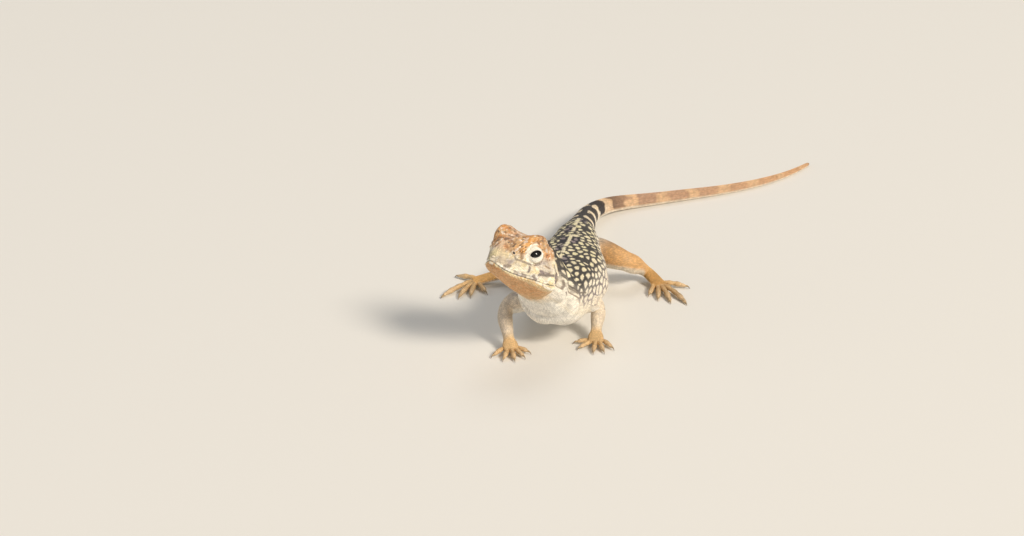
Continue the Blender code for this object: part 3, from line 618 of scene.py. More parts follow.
def legTable(leg):
    # Ellipses of the leg's sizes across its bent line, the last one across the line of the knuckles
    places, numbers = bentLine(leg["joints"], limb["rings"])
    way = places[-1] - places[-4]
    width, height = (ease(limb["sizesAt"], leg["kind"][key], numbers) - limb["coat"] for key in ("width", "height"))
    rings = ringsRound(places, (-way[1], way[0], 0.0), width, height, limb["around"])
    return makeTable(onFloor(rings, 0.08), numbers)


def digitTables(leg, side):
    # Each digit arches from its knuckle to the floor: the rise falls by a square, with a low sine added
    kind = leg["kind"]
    joints = np.asarray(leg["joints"], float)
    turn = joints[3] - joints[2]
    ahead = unit(turn * (1, 1, 0))
    across = np.array([-ahead[1], ahead[0], 0.0]) * side
    tables = []
    claws = []
    radius = kind["radius"]
    shares = np.linspace(0, 1, limb["digitRings"])
    for number, (length, way) in enumerate(zip(kind["lengths"], leg["ways"])):
        place = (number - 2) / 2 * limb["knuckleSpread"]
        wayOut = np.array([math.sin(math.radians(way)) * side, -math.cos(math.radians(way)), 0.0])
        root = joints[3] + across * place - ahead * limb["setBacks"][number] - wayOut * 0.4
        reach = length + 1.0 + limb["claw"]
        swing = np.radians(way * side + leg["curl"] * side * (shares - 0.3))
        flat = np.stack([np.sin(swing), -np.cos(swing)], axis=-1)
        steps = np.cumsum((flat[1:] + flat[:-1]) / 2 * reach / (len(shares) - 1), axis=0)
        steps = np.concatenate([[[0, 0]], steps])
        rest = radius * 0.8
        rise = rest + (root[2] - rest) * (1 - shares) ** 2 + 0.5 * np.sin(math.pi * shares**0.85)
        rise = rise - ramp(shares, 0.86, 1.0) * (rise - 0.3)
        places = np.column_stack([root[0] + steps[:, 0], root[1] + steps[:, 1], rise])
        clawFrom = (length + 1.0) / reach
        swell = 1 + limb["knuckleSwell"] * np.cos(2 * math.pi * kind["knuckles"][number] * shares / clawFrom)
        knots = (0, 0.3, clawFrom * 0.85, clawFrom, 1)
        size = ease(knots, (radius * 1.1, radius, radius * 0.92, radius * 0.55, 0.1), shares) * swell - 0.08
        skin = shares <= clawFrom + 0.02
        wayAcross = (math.cos(swing[-1]), math.sin(swing[-1]), 0.0)
        rings = ringsRound(places[skin], wayAcross, size[skin], size[skin] * 0.95, limb["digitAround"])
        tables.append(makeTable(onFloor(rings, 0.06), shares[skin]))
        claws.append((places[~skin], radius))
    return tables, claws


legTables = {}
digits = {}
clawPlaces = {}
for name, leg in legs.items():
    legTables[name] = legTable(leg)
    digits[name], clawPlaces[name] = digitTables(leg, 1 if name.endswith("Left") else -1)
print("legs:", len(legTables), "digits:", sum(len(d) for d in digits.values()))


# Lids: a dome over each eye with a slit whose wall reaches in to the ball

eye = {
    "at": (10.6, 6.2, 5.6),
    "out": (-0.58, 0.79, 0.15),
    "lids": (2.65, 2.6, 2.65),  # along the head, upwards, outwards
    "slit": (1.76, 1.0),
    "slitAt": (-0.2, 0.12),
    "slitPoint": 0.25,  # how much the slit's corners are drawn out
    "slitTilt": 34.0,
    "columns": 72,
    # the pit's rows from its middle to its wall: how much of the slit's size, and how far out
    "pit": ((0.15, 0.8), (0.8, 0.85), (0.9, 1.3), (0.95, 1.6)),
    # the rim's rows: how far from the slit towards the lids' edge, and how far over the dome
    "rim": ((0.0, -0.36), (0.02, -0.096), (0.05, 0.036), (0.1, 0.12)),
    # the dome's rows: the first one's share of the way from the slit to the lids' edge, and how many there are
    "dome": (0.16, 22),
    # height, place and width of the lip that is raised along the slit, and of the groove behind it
    "ridges": ((0.12, 0.16, 0.12), (-0.1, 0.36, 0.06)),
    # the last rows, which close the lids inside the head: how much of the edge's size, and how far out
    "under": ((0.9, -0.8), (0.3, -1.0)),
}


def outwardAxes(out, side):
    # Back, up and out in world directions, for a way out of the head that is given for its left side
    out = unit(np.array(out) * (1, side, 1))
    along = unit(np.cross((0.0, 0.0, 1.0), out) * side)
    over = np.cross(out, along) * side
    over *= np.sign(over[2])
    along *= np.sign(along[0])
    forward, left, up = headAxes()
    turn = np.array([-forward, left, up])
    return along @ turn, over @ turn, out @ turn


def eyePlace(side):
    # The middle of the eye on the side asked for, in the animal's own frame
    return fromHead(np.array([eye["at"][0], side * eye["at"][1], eye["at"][2]]))


def lidTable(side):
    # Rows run from the pit's middle up its wall, over the rim and down an ellipsoid to its equator and under it
    columns = eye["columns"]
    turns = turnsOf(columns)
    tilt = math.radians(eye["slitTilt"])
    x = np.cos(turns)
    y = np.sin(turns)
    slitX = eye["slit"][0] * x
    slitY = eye["slit"][1] * np.sign(y) * np.abs(y) ** (1 + eye["slitPoint"])
    slit = np.stack(
        [slitX * math.cos(tilt) - slitY * math.sin(tilt), slitX * math.sin(tilt) + slitY * math.cos(tilt)]
    )
    slit += np.array(eye["slitAt"])[:, None]
    middle = slit.mean(axis=1, keepdims=True)
    wide, tall, deep = eye["lids"]
    outer = np.stack([wide * x, tall * y])

    def onDome(share, rise):
        flat = slit * (1 - share) + outer * share
        height = deep * np.sqrt(np.clip(1 - (flat[0] / wide) ** 2 - (flat[1] / tall) ** 2, 0, 1))
        return flat, height + rise

    rows = [(middle + (slit - middle) * share, np.full(columns, out)) for share, out in eye["pit"]]
    rows += [onDome(share, rise) for share, rise in eye["rim"]]
    start, count = eye["dome"]
    for share in np.linspace(start, 1, count):
        rise = sum(height * math.exp(-(((share - at) / reach) ** 2)) for height, at, reach in eye["ridges"])
        rows.append(onDome(share, rise))
    rows += [(outer * share, np.full(columns, out)) for share, out in eye["under"]]
    back, over, out = outwardAxes(eye["out"], side)
    centre = eyePlace(side)
    points = [
        centre + flat[0][:, None] * back + flat[1][:, None] * over + rise[:, None] * out for flat, rise in rows
    ]
    return makeTable(np.array(points), np.arange(len(rows)))


lids = {side: lidTable(side) for side in (1, -1)}


# Markings: how much of each colour lies at a place, from 0 to 1

markNames = ("warm", "gold", "pale", "yellow", "slate", "dark")
net = {
    "seed": 3,
    "along": 3.3,  # the spots' spacing in mm
    "across": 2.35,
    "loose": 0.62,
    "line": 0.49,  # half the dark line's width on the back
    "flankLine": 0.24,
    "stripe": 0.5,
    "tailBand": 11.5,
}


# Short marks on the head and neck: a line of (station, turn), its half width, and how much of which colour
strokes = {
    "muzzle": (
        ((3.7, 0.13), (4.5, 0.17), (6.0, 0.183), (8.0, 0.192), (9.6, 0.194)),
        0.16, {"slate": 0.6, "dark": 0.25},
    ),
    # painted shade in the crease in front of each lid, tinted brown
    "frontCorner": (((6.0, 0.147), (6.4, 0.172)), 0.34, {"warm": 0.4, "gold": 0.4, "dark": 0.5}),
    "overEye": (((8.2, 0.118), (9.4, 0.108), (10.8, 0.113)), 0.22, {"warm": 0.6, "dark": 0.4}),
    "underEye": (((8.9, 0.205), (9.0, 0.222)), 0.26, {"slate": 0.7, "dark": 0.4}),
    "crownSpot1": (((3.5, 0.0), (3.9, 0.006)), 0.42, {"warm": 0.8, "dark": 0.6}),
    "crownSpot2": (((3.7, 0.065), (3.9, 0.03)), 0.26, {"warm": 0.8, "dark": 0.45}),
    "crownSpot3": (((5.6, 0.01), (6.0, 0.015)), 0.32, {"warm": 0.8, "dark": 0.45}),
    "crownSpot4": (((2.8, 0.10), (3.0, 0.105)), 0.28, {"warm": 0.6, "dark": 0.4}),
    "cheekCrease": (
        ((12.2, 0.222), (13.4, 0.218), (15.2, 0.213), (17.2, 0.206)),
        0.30, {"slate": 0.6, "dark": 0.5},
    ),
    "cheekSpot": (((12.5, 0.209), (13.6, 0.211)), 0.42, {"slate": 0.8, "dark": 0.15}),
    "templeStreak": (((14.2, 0.181), (15.6, 0.179)), 0.2, {"warm": 0.4, "dark": 0.4}),
    "templeSpot": (((18.4, 0.148), (18.1, 0.165), (17.8, 0.188)), 0.2, {"slate": 0.5, "dark": 0.5}),
    "lipSmudge1": (((2.4, 0.217), (4.0, 0.213)), 0.34, {"slate": 0.6, "dark": 0.25}),
    "muzzleTint": (((1.1, 0.168), (2.2, 0.20), (3.4, 0.21)), 0.55, {"slate": 0.38}),
    "lipSmudge2": (((5.9, 0.236), (6.7, 0.241)), 0.28, {"slate": 0.5, "dark": 0.15}),
    "lipSmudge3": (((7.9, 0.238), (8.9, 0.243)), 0.28, {"slate": 0.6, "dark": 0.15}),
    "lipSmudge4": (((10.8, 0.234), (11.6, 0.248)), 0.42, {"slate": 0.6, "dark": 0.25}),
    "lipSmudge5": (((14.2, 0.262), (14.9, 0.268)), 0.3, {"slate": 0.4}),
    "headRear": (
        ((20.2, 0.03), (20.8, 0.10), (22.2, 0.128), (23.0, 0.165), (22.9, 0.185)),
        0.26, {"warm": 0.4, "dark": 0.6},
    ),
    "mouthFold": (
        ((15.8, 0.2485), (18.5, 0.248), (21.5, 0.252), (24.3, 0.26)),
        0.16, {"slate": 0.4, "dark": 0.5},
    ),
    "jawRidge": (((12.5, 0.262), (15.5, 0.268), (20.0, 0.272), (24.5, 0.285)), 0.45, {"pale": 0.75}),
    "earRidge": (((17.2, 0.228), (18.2, 0.19), (18.6, 0.17)), 0.4, {"pale": 0.35, "yellow": 0.3}),
    "neckWedge": (((24.5, 0.222), (25.1, 0.236), (24.9, 0.256)), 0.34, {"slate": 0.5, "dark": 0.42}),
    "neckStreak1": (
        ((24.0, 0.198), (26.0, 0.205), (28.5, 0.216), (31.5, 0.222)),
        0.24, {"slate": 0.3, "dark": 0.8},
    ),
    "neckStreak2": (((26.2, 0.216), (28.5, 0.228), (31.5, 0.234)), 0.2, {"slate": 0.4, "dark": 0.6}),
    "neckStreak3": (
        ((27.0, 0.238), (29.0, 0.25), (32.0, 0.256), (34.0, 0.25)),
        0.18, {"slate": 0.5, "dark": 0.5},
    ),
    "neckSpot": (((26.6, 0.262), (27.8, 0.272)), 0.26, {"slate": 0.6, "dark": 0.35}),
    "shoulderStreak": (((32.5, 0.226), (35.0, 0.222), (37.5, 0.232)), 0.22, {"slate": 0.5, "dark": 0.6}),
}


def addStrokes(marks, station, side, girth):
    # Each stroke's colours are full on its line and fall to 0 by an S curve round its half width
    for line, half, colours in strokes.values():
        share = ramp(lineAway(line, station, side, girth), half + 0.14, half - 0.10)
        for name, value in colours.items():
            marks[name] = np.maximum(marks[name], value * share)
        if "dark" in colours or "slate" in colours:
            for name in ("pale", "yellow"):
                marks[name] = marks[name] * (1 - 0.7 * share)


def lidPlace(local):
    # Distances from the line that an eye looks along, how far out, and how far above it, for head places
    out = unit(np.array(eye["out"]))
    place = onLeft(local) - eye["at"]
    depth = place @ out
    across = place - depth[..., None] * out
    return np.linalg.norm(across, axis=-1), depth, across[..., 2]


def lidCreaseShade(local):
    # Painted shade in the crease under each lid: a bell round the lower half of the lid's edge
    away, depth, above = lidPlace(local)
    edge = np.exp(-(((away - eye["lids"][0] - 0.32) / 0.3) ** 2))
    return edge * (depth > -1.5) * ramp(above, 0.4, -1.2) * (np.abs(local[..., 1]) > 2)


def lidFront(local):
    # The scales just before the lid, which are as white as the lid
    away, depth, _ = lidPlace(local)
    front = ramp(local[..., 0], eye["at"][0] + 0.3, eye["at"][0] - 1.2)
    return ramp(away, 3.6, 3.2) * front * (depth > -1.5) * (np.abs(local[..., 1]) > 2)


def marksOf(like, **given):
    # The given markings and 0 for the others, all shaped like the first value and cut to the range from 0 to 1
    return {name: np.clip(given.get(name, 0.0) + 0.0 * like, 0, 1) for name in markNames}


def trunkMarks(station, turn, girth, local, stroked=True):
    # The tan speckled crown and pale cheeks, the dark net over the back that fades on the flanks, the tail's bands
    marks = marksOf(station)
    side = (turn + 0.5) % 1 - 0.5
    low = np.abs(side) * 4  # 0 along the back, 1 at mid side, 2 along the belly
    across = side * girth
    along = station - bodyStart
    headEnd = 22.0 + 1.4 * ramp(low, 0.6, 1.0) + 1.2 * (waves(station / 0.9, across / 0.9, 61) - 0.5)
    ownHead = ramp(station, headEnd + 0.5, headEnd - 0.5) * ramp(low, 2.2, 1.7)
    ownThroat = ramp(station + 1.5 * (waves(station / 1.5, across / 1.5, 63) - 0.5), 26.4, 23.0) * ramp(low, 1.1, 1.6)
    headShare = np.clip(np.maximum(ownHead, ownThroat), 0, 1)
    for key, value in headMarks(station, low, side, across, local).items():
        marks[key] = marks[key] + headShare * value
    bodyShare = 1 - headShare
    # the net: borders between loose cells, thinner and greyer down the flanks, gone on the belly
    tailShare = ramp(along + 5.0 * (waves(station / 2.2, across / 2.2, 77) - 0.5), 60.2, 61.8)
    trunkShare = bodyShare * (1 - tailShare)
    wavy = 0.9 * (waves(station / 5, across / 5, 71) - 0.5)
    first, second, number = cells(
        (station + wavy) / net["along"], (across - wavy) / net["across"], net["seed"], net["loose"]
    )
    gap = (second - first) * 0.5 * math.sqrt(net["along"] * net["across"])
    front = ramp(station, 58.0, 40.0)
    topness = ramp(low, 1.05 + 0.08 * front, 0.55 + 0.12 * front)
    half = net["flankLine"] + (net["line"] - net["flankLine"]) * topness
    half = half + 0.12 * (waves(station / 2.5, across / 2.5, 73) - 0.5) + 0.12 * topness * ramp(along, 12.0, -6.0)
    line = ramp(gap, half + 0.12, half - 0.12)
    filled = (number < 0.11) * ramp(low, 0.7, 0.45)
    lowEnd = ease((22, 24, 29, 33, 38), (0.82, 0.84, 0.93, 1.08, 1.19), station)
    shown = ramp(low, lowEnd + 0.17, lowEnd - 0.17)
    netted = np.maximum(line, filled) * shown
    # a broken pale line along the middle of the back, with slate patches beside it
    spine = ramp(np.abs(across), net["stripe"] + 0.2, net["stripe"] - 0.15)
    broken = ramp(waves(station / 3.1, 0 * station, 81), 0.30, 0.42) * ramp(along, -14.0, -8.0)
    stripe = spine * broken * trunkShare
    beside = ramp(np.abs(across), 3.4, 2.5) * ramp(np.abs(across), 0.5, 0.8)
    blue = beside * ramp(waves(station / 4.5, np.sign(side) * 3 + 5, 91), 0.50, 0.62)
    marks["dark"] += trunkShare * netted * (0.32 + 0.62 * topness) * (1 - stripe)
    marks["slate"] += trunkShare * (1 - stripe) * np.maximum(netted * (1 - topness) * 0.85, blue * 0.85)
    marks["yellow"] += trunkShare * ramp(low, 0.85, 0.45) * (0.15 + 0.65 * number) * (1 - line)
    belly = ramp(low, 1.15, 1.5)
    far = ramp(along, 92.0, 112.0)
    upperPale = (0.25 + 0.35 * ramp(low, 0.5, 0.9)) * (1 - 0.9 * far)
    marks["pale"] += bodyShare * np.maximum(belly * (1 - 0.4 * far), upperPale)
    marks["warm"] += trunkShare * ramp(low, 0.85, 1.05) * ramp(low, 1.4, 1.15) * 0.12
    # the neck behind the jaw: white folds with a few dark marks
    neckSide = ramp(station, 22.0, 23.5) * ramp(station, 37.0, 32.0)
    neckSide = neckSide * ramp(low, lowEnd - 0.1, lowEnd + 0.1) * ramp(low, 1.5, 1.3)
    marks["pale"] = np.maximum(marks["pale"], 0.85 * neckSide * (1 - netted))
    marks["yellow"] *= 1 - 0.7 * neckSide
    # the tail: black at its base with pairs of cream blotches, then ever fainter tan bands
    past = along - body["trunk"]
    phase = past / net["tailBand"] + 0.10 * (waves(station / 5, across / 2.5, 101) - 0.5)
    ragged = 1.3 * (waves(station / 1.6, across / 1.6, 103) - 0.5) + 0.5 * (waves(station / 4, across / 3, 105) - 0.5)
    blotch = np.cos(2 * math.pi * phase) + ragged - 1.1 * ramp(np.abs(across), 1.3, 0.4) * ramp(past, 50, 35)
    pale = ramp(blotch, 0.15, 0.5 + 0.3 * ramp(past, 40, 70))
    topTail = ramp(low, 1.45, 1.1)
    strong = ramp(past, 62.0, 40.0)
    faint = ramp(past, 128, 60)
    marks["dark"] += tailShare * (1 - pale) * topTail * (0.10 * faint + 0.85 * strong)
    marks["slate"] += tailShare * (1 - pale) * topTail * 0.25 * (1 - strong) * faint
    marks["warm"] += tailShare * (0.12 + 0.42 * ramp(past, 30, 52) + 0.15 * (1 - pale)) * (1 - belly * 0.5)
    if stroked:
        addStrokes(marks, station, np.abs(side), girth)
    return marksOf(station, **marks)


def headMarks(station, low, side, across, local):
    # Speckled orange-tan above, golden over the eye, cream and violet-grey below it, smudged lips, and a warm throat
    # that is partly its own tone and partly painted shade with warm bounced light; painted shade also darkens the
    # mouth's groove and the crease under each lid
    up = local[..., 2]
    grain = waves(station / 0.75, across / 0.75, 5)
    fleck = waves(station / 0.5, across / 0.5, 6)
    blot = waves(station / 2.2, across / 2.2, 21)
    crown = ramp(up + 1.4 * (blot - 0.5) - 0.10 * station, 3.0, 5.2) * ramp(low, 1.2, 0.75)
    snout = ramp(station, 8.5, 5.0) * crown
    overEye = crown * np.exp(-(((station - 6.8) / 2.4) ** 2) - (((low - 0.62) / 0.3) ** 2))
    cheek = (1 - crown) * ramp(low, 1.12, 1.0)
    behindEye = np.exp(-(((station - 13.4) / 2.2) ** 2) - (((up - 5.4) / 1.6) ** 2))
    snoutSide = np.exp(-(((station - 3.2) / 2.6) ** 2) - (((up - 1.6) / 1.1) ** 2))
    throat = ramp(low, 1.10, 1.32)
    lipAway = (np.abs(side) - 0.25) * 60
    upperLip = np.exp(-(((lipAway + 0.8) / 0.6) ** 2)) * ramp(station, 16.5, 15.0)
    lowerLip = np.exp(-(((lipAway - 1.3) / 1.0) ** 2)) * ramp(station, 17.5, 15.5)
    smudge = ramp(np.cos(2 * math.pi * station / 2.5 + 1.2 * np.sign(side)), 0.25, 0.8)
    # The throat's warm tint: partly its own tone, partly painted shade tinted by warm bounced light
    throatToneAndShade = (0.38 + 0.26 * ramp(station, 25.0, 17.0)) * (0.65 + 0.7 * grain) * (1 - 0.75 * lowerLip)
    warm = crown * (0.50 + 0.40 * ramp(grain, 0.35, 0.65)) + throat * throatToneAndShade
    slate = crown * 0.20 * ramp(fleck, 0.58, 0.74) + 0.42 * behindEye * cheek + 0.5 * snoutSide * cheek
    # Painted shade in the crease under the lid, tinted warm, violet-grey and dark
    under = lidCreaseShade(local)
    slate = slate + upperLip * 0.12 * smudge + cheek * 0.30 * ramp(blot, 0.52, 0.72) + 0.15 * under
    brownSpot = ramp(waves(station / 1.1, across / 1.1, 8), 0.66, 0.76)
    dark = crown * (0.50 * ramp(fleck, 0.73, 0.82) + 0.28 * brownSpot)
    dark = dark + snout * 0.25 * ramp(grain, 0.6, 0.8) + 0.35 * under
    crease = np.exp(-(((station - 15.4) / 2.0) ** 2) - (((up - 1.7) / 0.35) ** 2)) * ramp(low, 0.5, 0.7)
    # Painted shade: a dark line along the mouth's groove, where the lips meet
    mouth = ramp(np.abs(lipAway), 0.22, 0.08) * ramp(station, 17.0, 16.0)
    ear = (earAway(local) < 1.02) * (station > 14)
    pale = cheek * 0.5 * ramp(grain, 0.3, 0.5) + upperLip * 0.5 + lowerLip * 0.08
    crownPale = 0.6 * ramp(fleck, 0.30, 0.18) + 0.25 * ramp(np.abs(across) + 2 * blot, 3.0, 1.4)
    white = lidFront(local)
    marks = {
        "warm": warm + 0.35 * ear + 0.45 * under,
        "gold": overEye * 0.75 + throat * 0.18 + 0.6 * lowerLip * ramp(station, 5.0, 8.0) + 0.14 * crown,
        "yellow": cheek * 0.30 * ramp(blot, 0.5, 0.3) + 0.35 * lowerLip,
        "pale": pale + crown * crownPale,
        "slate": slate + 0.45 * crease + 0.45 * ear,
        "dark": dark + 0.25 * crease + 0.75 * mouth + 0.18 * ear,
    }
    marks = {name: mark * (1 - white) for name, mark in marks.items()}
    marks["pale"] = marks["pale"] + 0.8 * white
    marks["yellow"] = marks["yellow"] + 0.2 * white
    return marks


def limbMarks(number, points, normals, front):
    # Tan to golden, paler below, with a faint net on the upper part, by the joints' numbers
    below = ramp(normals[..., 2], -0.1, -0.6)
    foot = ramp(number, 1.75, 2.25)
    first, second, chanceNumber = cells(points[..., 0] / 2.1 + points[..., 1] / 5, points[..., 2] / 2.1, 13)
    line = ramp(second - first, 0.34, 0.16) * (1 - below)
    upper = ramp(number, 1.2, 0.5)
    warm = (0.20 if front else 0.55) * (1 - 0.6 * below) * (1 - foot * 0.5)
    marks = {
        "warm": warm + 0.15 * (waves(points[..., 0] / 2, points[..., 1] / 2, 17) - 0.5),
        "slate": line * (0.20 if front else 0.12) * (0.4 + 0.6 * upper) * (1 - foot),
        "dark": line * upper * (0.12 if front else 0.05) * (chanceNumber > 0.4),
        "yellow": 0.2 * foot,
        "gold": foot * (0.58 if front else 0.70) + (0.20 if front else 0.6) * (1 - foot) * (1 - below),
        "pale": below * 0.5 + (0.48 if front else 0.05) * (1 - foot) + (0.08 if front else 0) * foot,
    }
    # towards the body the leg's colours give way to the flank's pale net
    own = ramp(number, 0.1, 0.75)
    first, second, _ = cells(points[..., 1] / net["along"], points[..., 2] / net["across"], 23, 0.5)
    line = ramp((second - first) * 1.4, 0.30, 0.08) * (1 - below)
    flank = {"pale": 0.55 + 0.4 * below, "slate": 0.75 * line, "dark": 0.12 * line, "warm": 0.10}
    return marksOf(number, **{name: mark * own + flank.get(name, 0.0) * (1 - own) for name, mark in marks.items()})


def digitMarks(share, points, normals):
    # Golden yellow, paler below and towards the claw
    below = ramp(normals[..., 2], -0.2, -0.7)
    return marksOf(
        share,
        yellow=0.25,
        gold=0.60 - 0.2 * below,
        warm=0.04 + 0.22 * (1 - below) * waves(points[..., 0], points[..., 1], 19),
        pale=0.10 + 0.2 * below + 0.12 * ramp(share, 0.4, 0.8),
    )


def lidMarks(row, turn):
    # White, dark in the pit, and at the outer edge warm above and violet-grey below. The pit's dark is partly the
    # lid's dark margin and partly painted shade in the recess, and the violet-grey below is painted shade in the
    # crease under the lid
    edge = ramp(row, 22, 27)
    height = np.sin(2 * math.pi * turn)
    return marksOf(
        row,
        pale=0.80 * ramp(row, 28, 23) + 0.15,
        yellow=0.22,
        warm=0.35 * edge * ramp(height, -0.2, 0.5),
        slate=0.30 * edge * ramp(height, 0.2, -0.5) + 0.35 * ramp(row, 6.6, 5.4),
        dark=0.9 * ramp(row, 5.4, 4.0),
    )


# Meshes

design = {side: np.array(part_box("eye_left" if side == 1 else "eye_right")).mean(axis=0) for side in (1, -1)}
shift = (design[1] / mm - eyePlace(1)) * (1, 1, 0)
print("the shoulder stands at", shift.round(2))
print("the right eye differs by", (design[-1] / mm - eyePlace(-1) - shift).round(2))


def addObject(name, data):
    # An object of a mesh, a light or a camera, linked into the scene
    thing = bpy.data.objects.new(name, data)
    bpy.context.scene.collection.objects.link(thing)
    return thing


def fillMesh(name, points, corners, sizes, values):
    # Puts places, faces (as corner numbers and face sizes) and one number of each kind for a corner into a mesh
    mesh = bpy.data.meshes.new(name)
    mesh.vertices.add(len(points))
    mesh.vertices.foreach_set("co", ((points + shift) * mm).astype(np.float32).ravel())
    mesh.loops.add(len(corners))
    mesh.loops.foreach_set("vertex_index", np.asarray(corners, np.int32))
    mesh.polygons.add(len(sizes))
    starts = np.concatenate([[0], np.cumsum(sizes)[:-1]])
    mesh.polygons.foreach_set("loop_start", np.asarray(starts, np.int32))
    mesh.update(calc_edges=True)
    mesh.shade_smooth()
    for key, numbers in values.items():
        mesh.attributes.new(key, "FLOAT", "POINT").data.foreach_set("value", np.asarray(numbers, np.float32))
    return mesh


def ringQuads(number):
    # The corners of the faces between rows of corner numbers, each row closed on itself
    after = np.roll(number, -1, axis=1)
    return np.stack([number[:-1], after[:-1], after[1:], number[1:]], axis=-1).reshape(-1, 4)


def tubeMesh(name, table, marks):
    # A closed mesh of a table's rings, each end closed on the middle of its ring
    points = table["points"]
    rows, columns = points.shape[:2]
    number = np.arange(rows * columns).reshape(rows, columns)
    after = np.roll(number, -1, axis=1)
    quads = ringQuads(number)
    first = np.stack([np.full(columns, rows * columns), after[0], number[0]], axis=-1)
    last = np.stack([np.full(columns, rows * columns + 1), number[-1], after[-1]], axis=-1)
    everything = np.concatenate([points.reshape(-1, 3), [points[0].mean(axis=0)], [points[-1].mean(axis=0)]])
    corners = np.concatenate([quads.ravel(), first.ravel(), last.ravel()])
    sizes = np.concatenate([np.full(len(quads), 4), np.full(2 * columns, 3)])
    values = {}
    for key, grid in marks.items():
        values[key] = np.concatenate([grid.ravel(), [grid[0].mean()], [grid[-1].mean()]])
    values["own"] = np.ones(len(everything))
    mesh = fillMesh(name, everything, corners, sizes, values)
    facing = np.cross(np.roll(points[:-1], -1, axis=1) - points[:-1], points[1:] - points[:-1])
    if np.sum(facing * table["normals"][:-1]) < 0:
        mesh.flip_normals()
    return mesh


def grids(table):
    # Row stations and turns as full grids, for reading markings over a whole table
    rows, columns = table["points"].shape[:2]
    station = np.repeat(table["stations"][:, None], columns, axis=1)
    turn = np.repeat(np.arange(columns)[None, :] / columns, rows, axis=0)
    return station, turn


def union(meshes):
    # One closed surface from all the meshes, by the solver that keeps the markings of old corners
    base = addObject("base", meshes[0])
    group = bpy.data.collections.new("pieces")
    bpy.context.scene.collection.children.link(group)
    for number, mesh in enumerate(meshes[1:]):
        group.objects.link(bpy.data.objects.new(f"piece{number}", mesh))
    step = base.modifiers.new("join", "BOOLEAN")
    step.operation = "UNION"
    step.operand_type = "COLLECTION"
    step.collection = group
    step.solver = "MANIFOLD"
    made = bpy.data.meshes.new_from_object(base.evaluated_get(bpy.context.evaluated_depsgraph_get()))
    for thing in [*group.objects, base]:
        bpy.data.objects.remove(thing)
    bpy.data.collections.remove(group)
    return made


def numbersOf(items, key, width, kind=np.float32):
    # One property of all the items as an array of rows
    found = np.empty(len(items) * width, kind)
    items.foreach_get(key, found)
    return found.reshape(-1, width) if width > 1 else found


# How far from its joins each union is eased, in mm, and how many times, each time by a share of the way
joins = {"digits": (0.7, 8), "lids": (0.6, 8), "legs": (2.8, 26), "share": 0.6}


def blendJoins(mesh, reach, rounds):
    # Corners made by the union take their neighbours' markings, then the skin near them is eased towards its
    # neighbours' mean, less and less up to the reach
    points = numbersOf(mesh.vertices, "co", 3).astype(float) / mm
    edges = numbersOf(mesh.edges, "vertices", 2, np.int32)
    own = numbersOf(mesh.attributes["own"].data, "value", 1) > 0.999
    count = np.bincount(edges.ravel(), minlength=len(points))

    def sumOf(values):
        # The sum of each corner's neighbours' values
        total = np.zeros_like(values)
        for k in range(values.shape[1]):
            total[:, k] = np.bincount(edges[:, 0], values[edges[:, 1], k], len(points))
            total[:, k] += np.bincount(edges[:, 1], values[edges[:, 0], k], len(points))
        return total

    values = np.stack([numbersOf(mesh.attributes[key].data, "value", 1) for key in markNames], axis=-1).astype(float)
    known = own.copy()
    for _ in range(12):
        if known.all():
            break
        weight = sumOf(known[:, None].astype(float))
        total = sumOf(values * known[:, None])
        fresh = ~known & (weight[:, 0] > 0)
        values[fresh] = total[fresh] / weight[fresh]
        known |= fresh
    for k, key in enumerate(markNames):
        mesh.attributes[key].data.foreach_set("value", values[:, k].astype(np.float32))
    away = np.where(own, 99.0, 0.0)
    length = np.linalg.norm(points[edges[:, 0]] - points[edges[:, 1]], axis=1)
    for _ in range(60):
        nearer = away.copy()
        np.minimum.at(nearer, edges[:, 0], away[edges[:, 1]] + length)
        np.minimum.at(nearer, edges[:, 1], away[edges[:, 0]] + length)
        if np.allclose(nearer, away):
            break
        away = nearer
    strength = ramp(away, reach, 0.0)[:, None] * joins["share"]
    for _ in range(rounds):
        points = points + strength * (sumOf(points) / count[:, None] - points)
    mesh.vertices.foreach_set("co", (points * mm).astype(np.float32).ravel())
    mesh.attributes["own"].data.foreach_set("value", np.ones(len(points), np.float32))
    mesh.update()
    return mesh


def makeSkin():
    # Digits and legs first, with small eases at the knuckles, then lids and legs into the trunk
    limbs = []
    for name, table in legTables.items():
        number, _ = grids(table)
        marks = limbMarks(number, table["points"], table["normals"], name.startswith("front"))
        pieces = [tubeMesh(name, table, marks)]
        for digit in digits[name]:
            share, _ = grids(digit)
            pieces.append(tubeMesh("digit", digit, digitMarks(share, digit["points"], digit["normals"])))
        limbs.append(blendJoins(union(pieces), *joins["digits"]))
    station, turn = grids(trunk)
    girth = np.repeat(trunk["arc"][:, -1:], turn.shape[1], axis=1)
    pieces = [tubeMesh("trunk", trunk, trunkMarks(station, turn, girth, trunk["local"]))]
    pieces += [tubeMesh("lids", table, lidMarks(*grids(table))) for table in lids.values()]
    lidded = blendJoins(union(pieces), *joins["lids"])
    return blendJoins(union([lidded, *limbs]), *joins["legs"])


skinMesh = makeSkin()
print("skin:", len(skinMesh.vertices), "corners")


# Scales: thin closed shells that overlap backwards, rooted in rows all over the skin

def roundFaces(count):
    # Faces from an outline to a ring over it and on to a middle corner, and the fan that closes the outline
    faces = []
    for k in range(count):
        after = (k + 1) % count
        faces += [(k, after, count + after), (k, count + after, count + k), (count + k, count + after, 2 * count)]
    return np.array(faces + [(0, k + 1, k) for k in range(1, count - 1)])


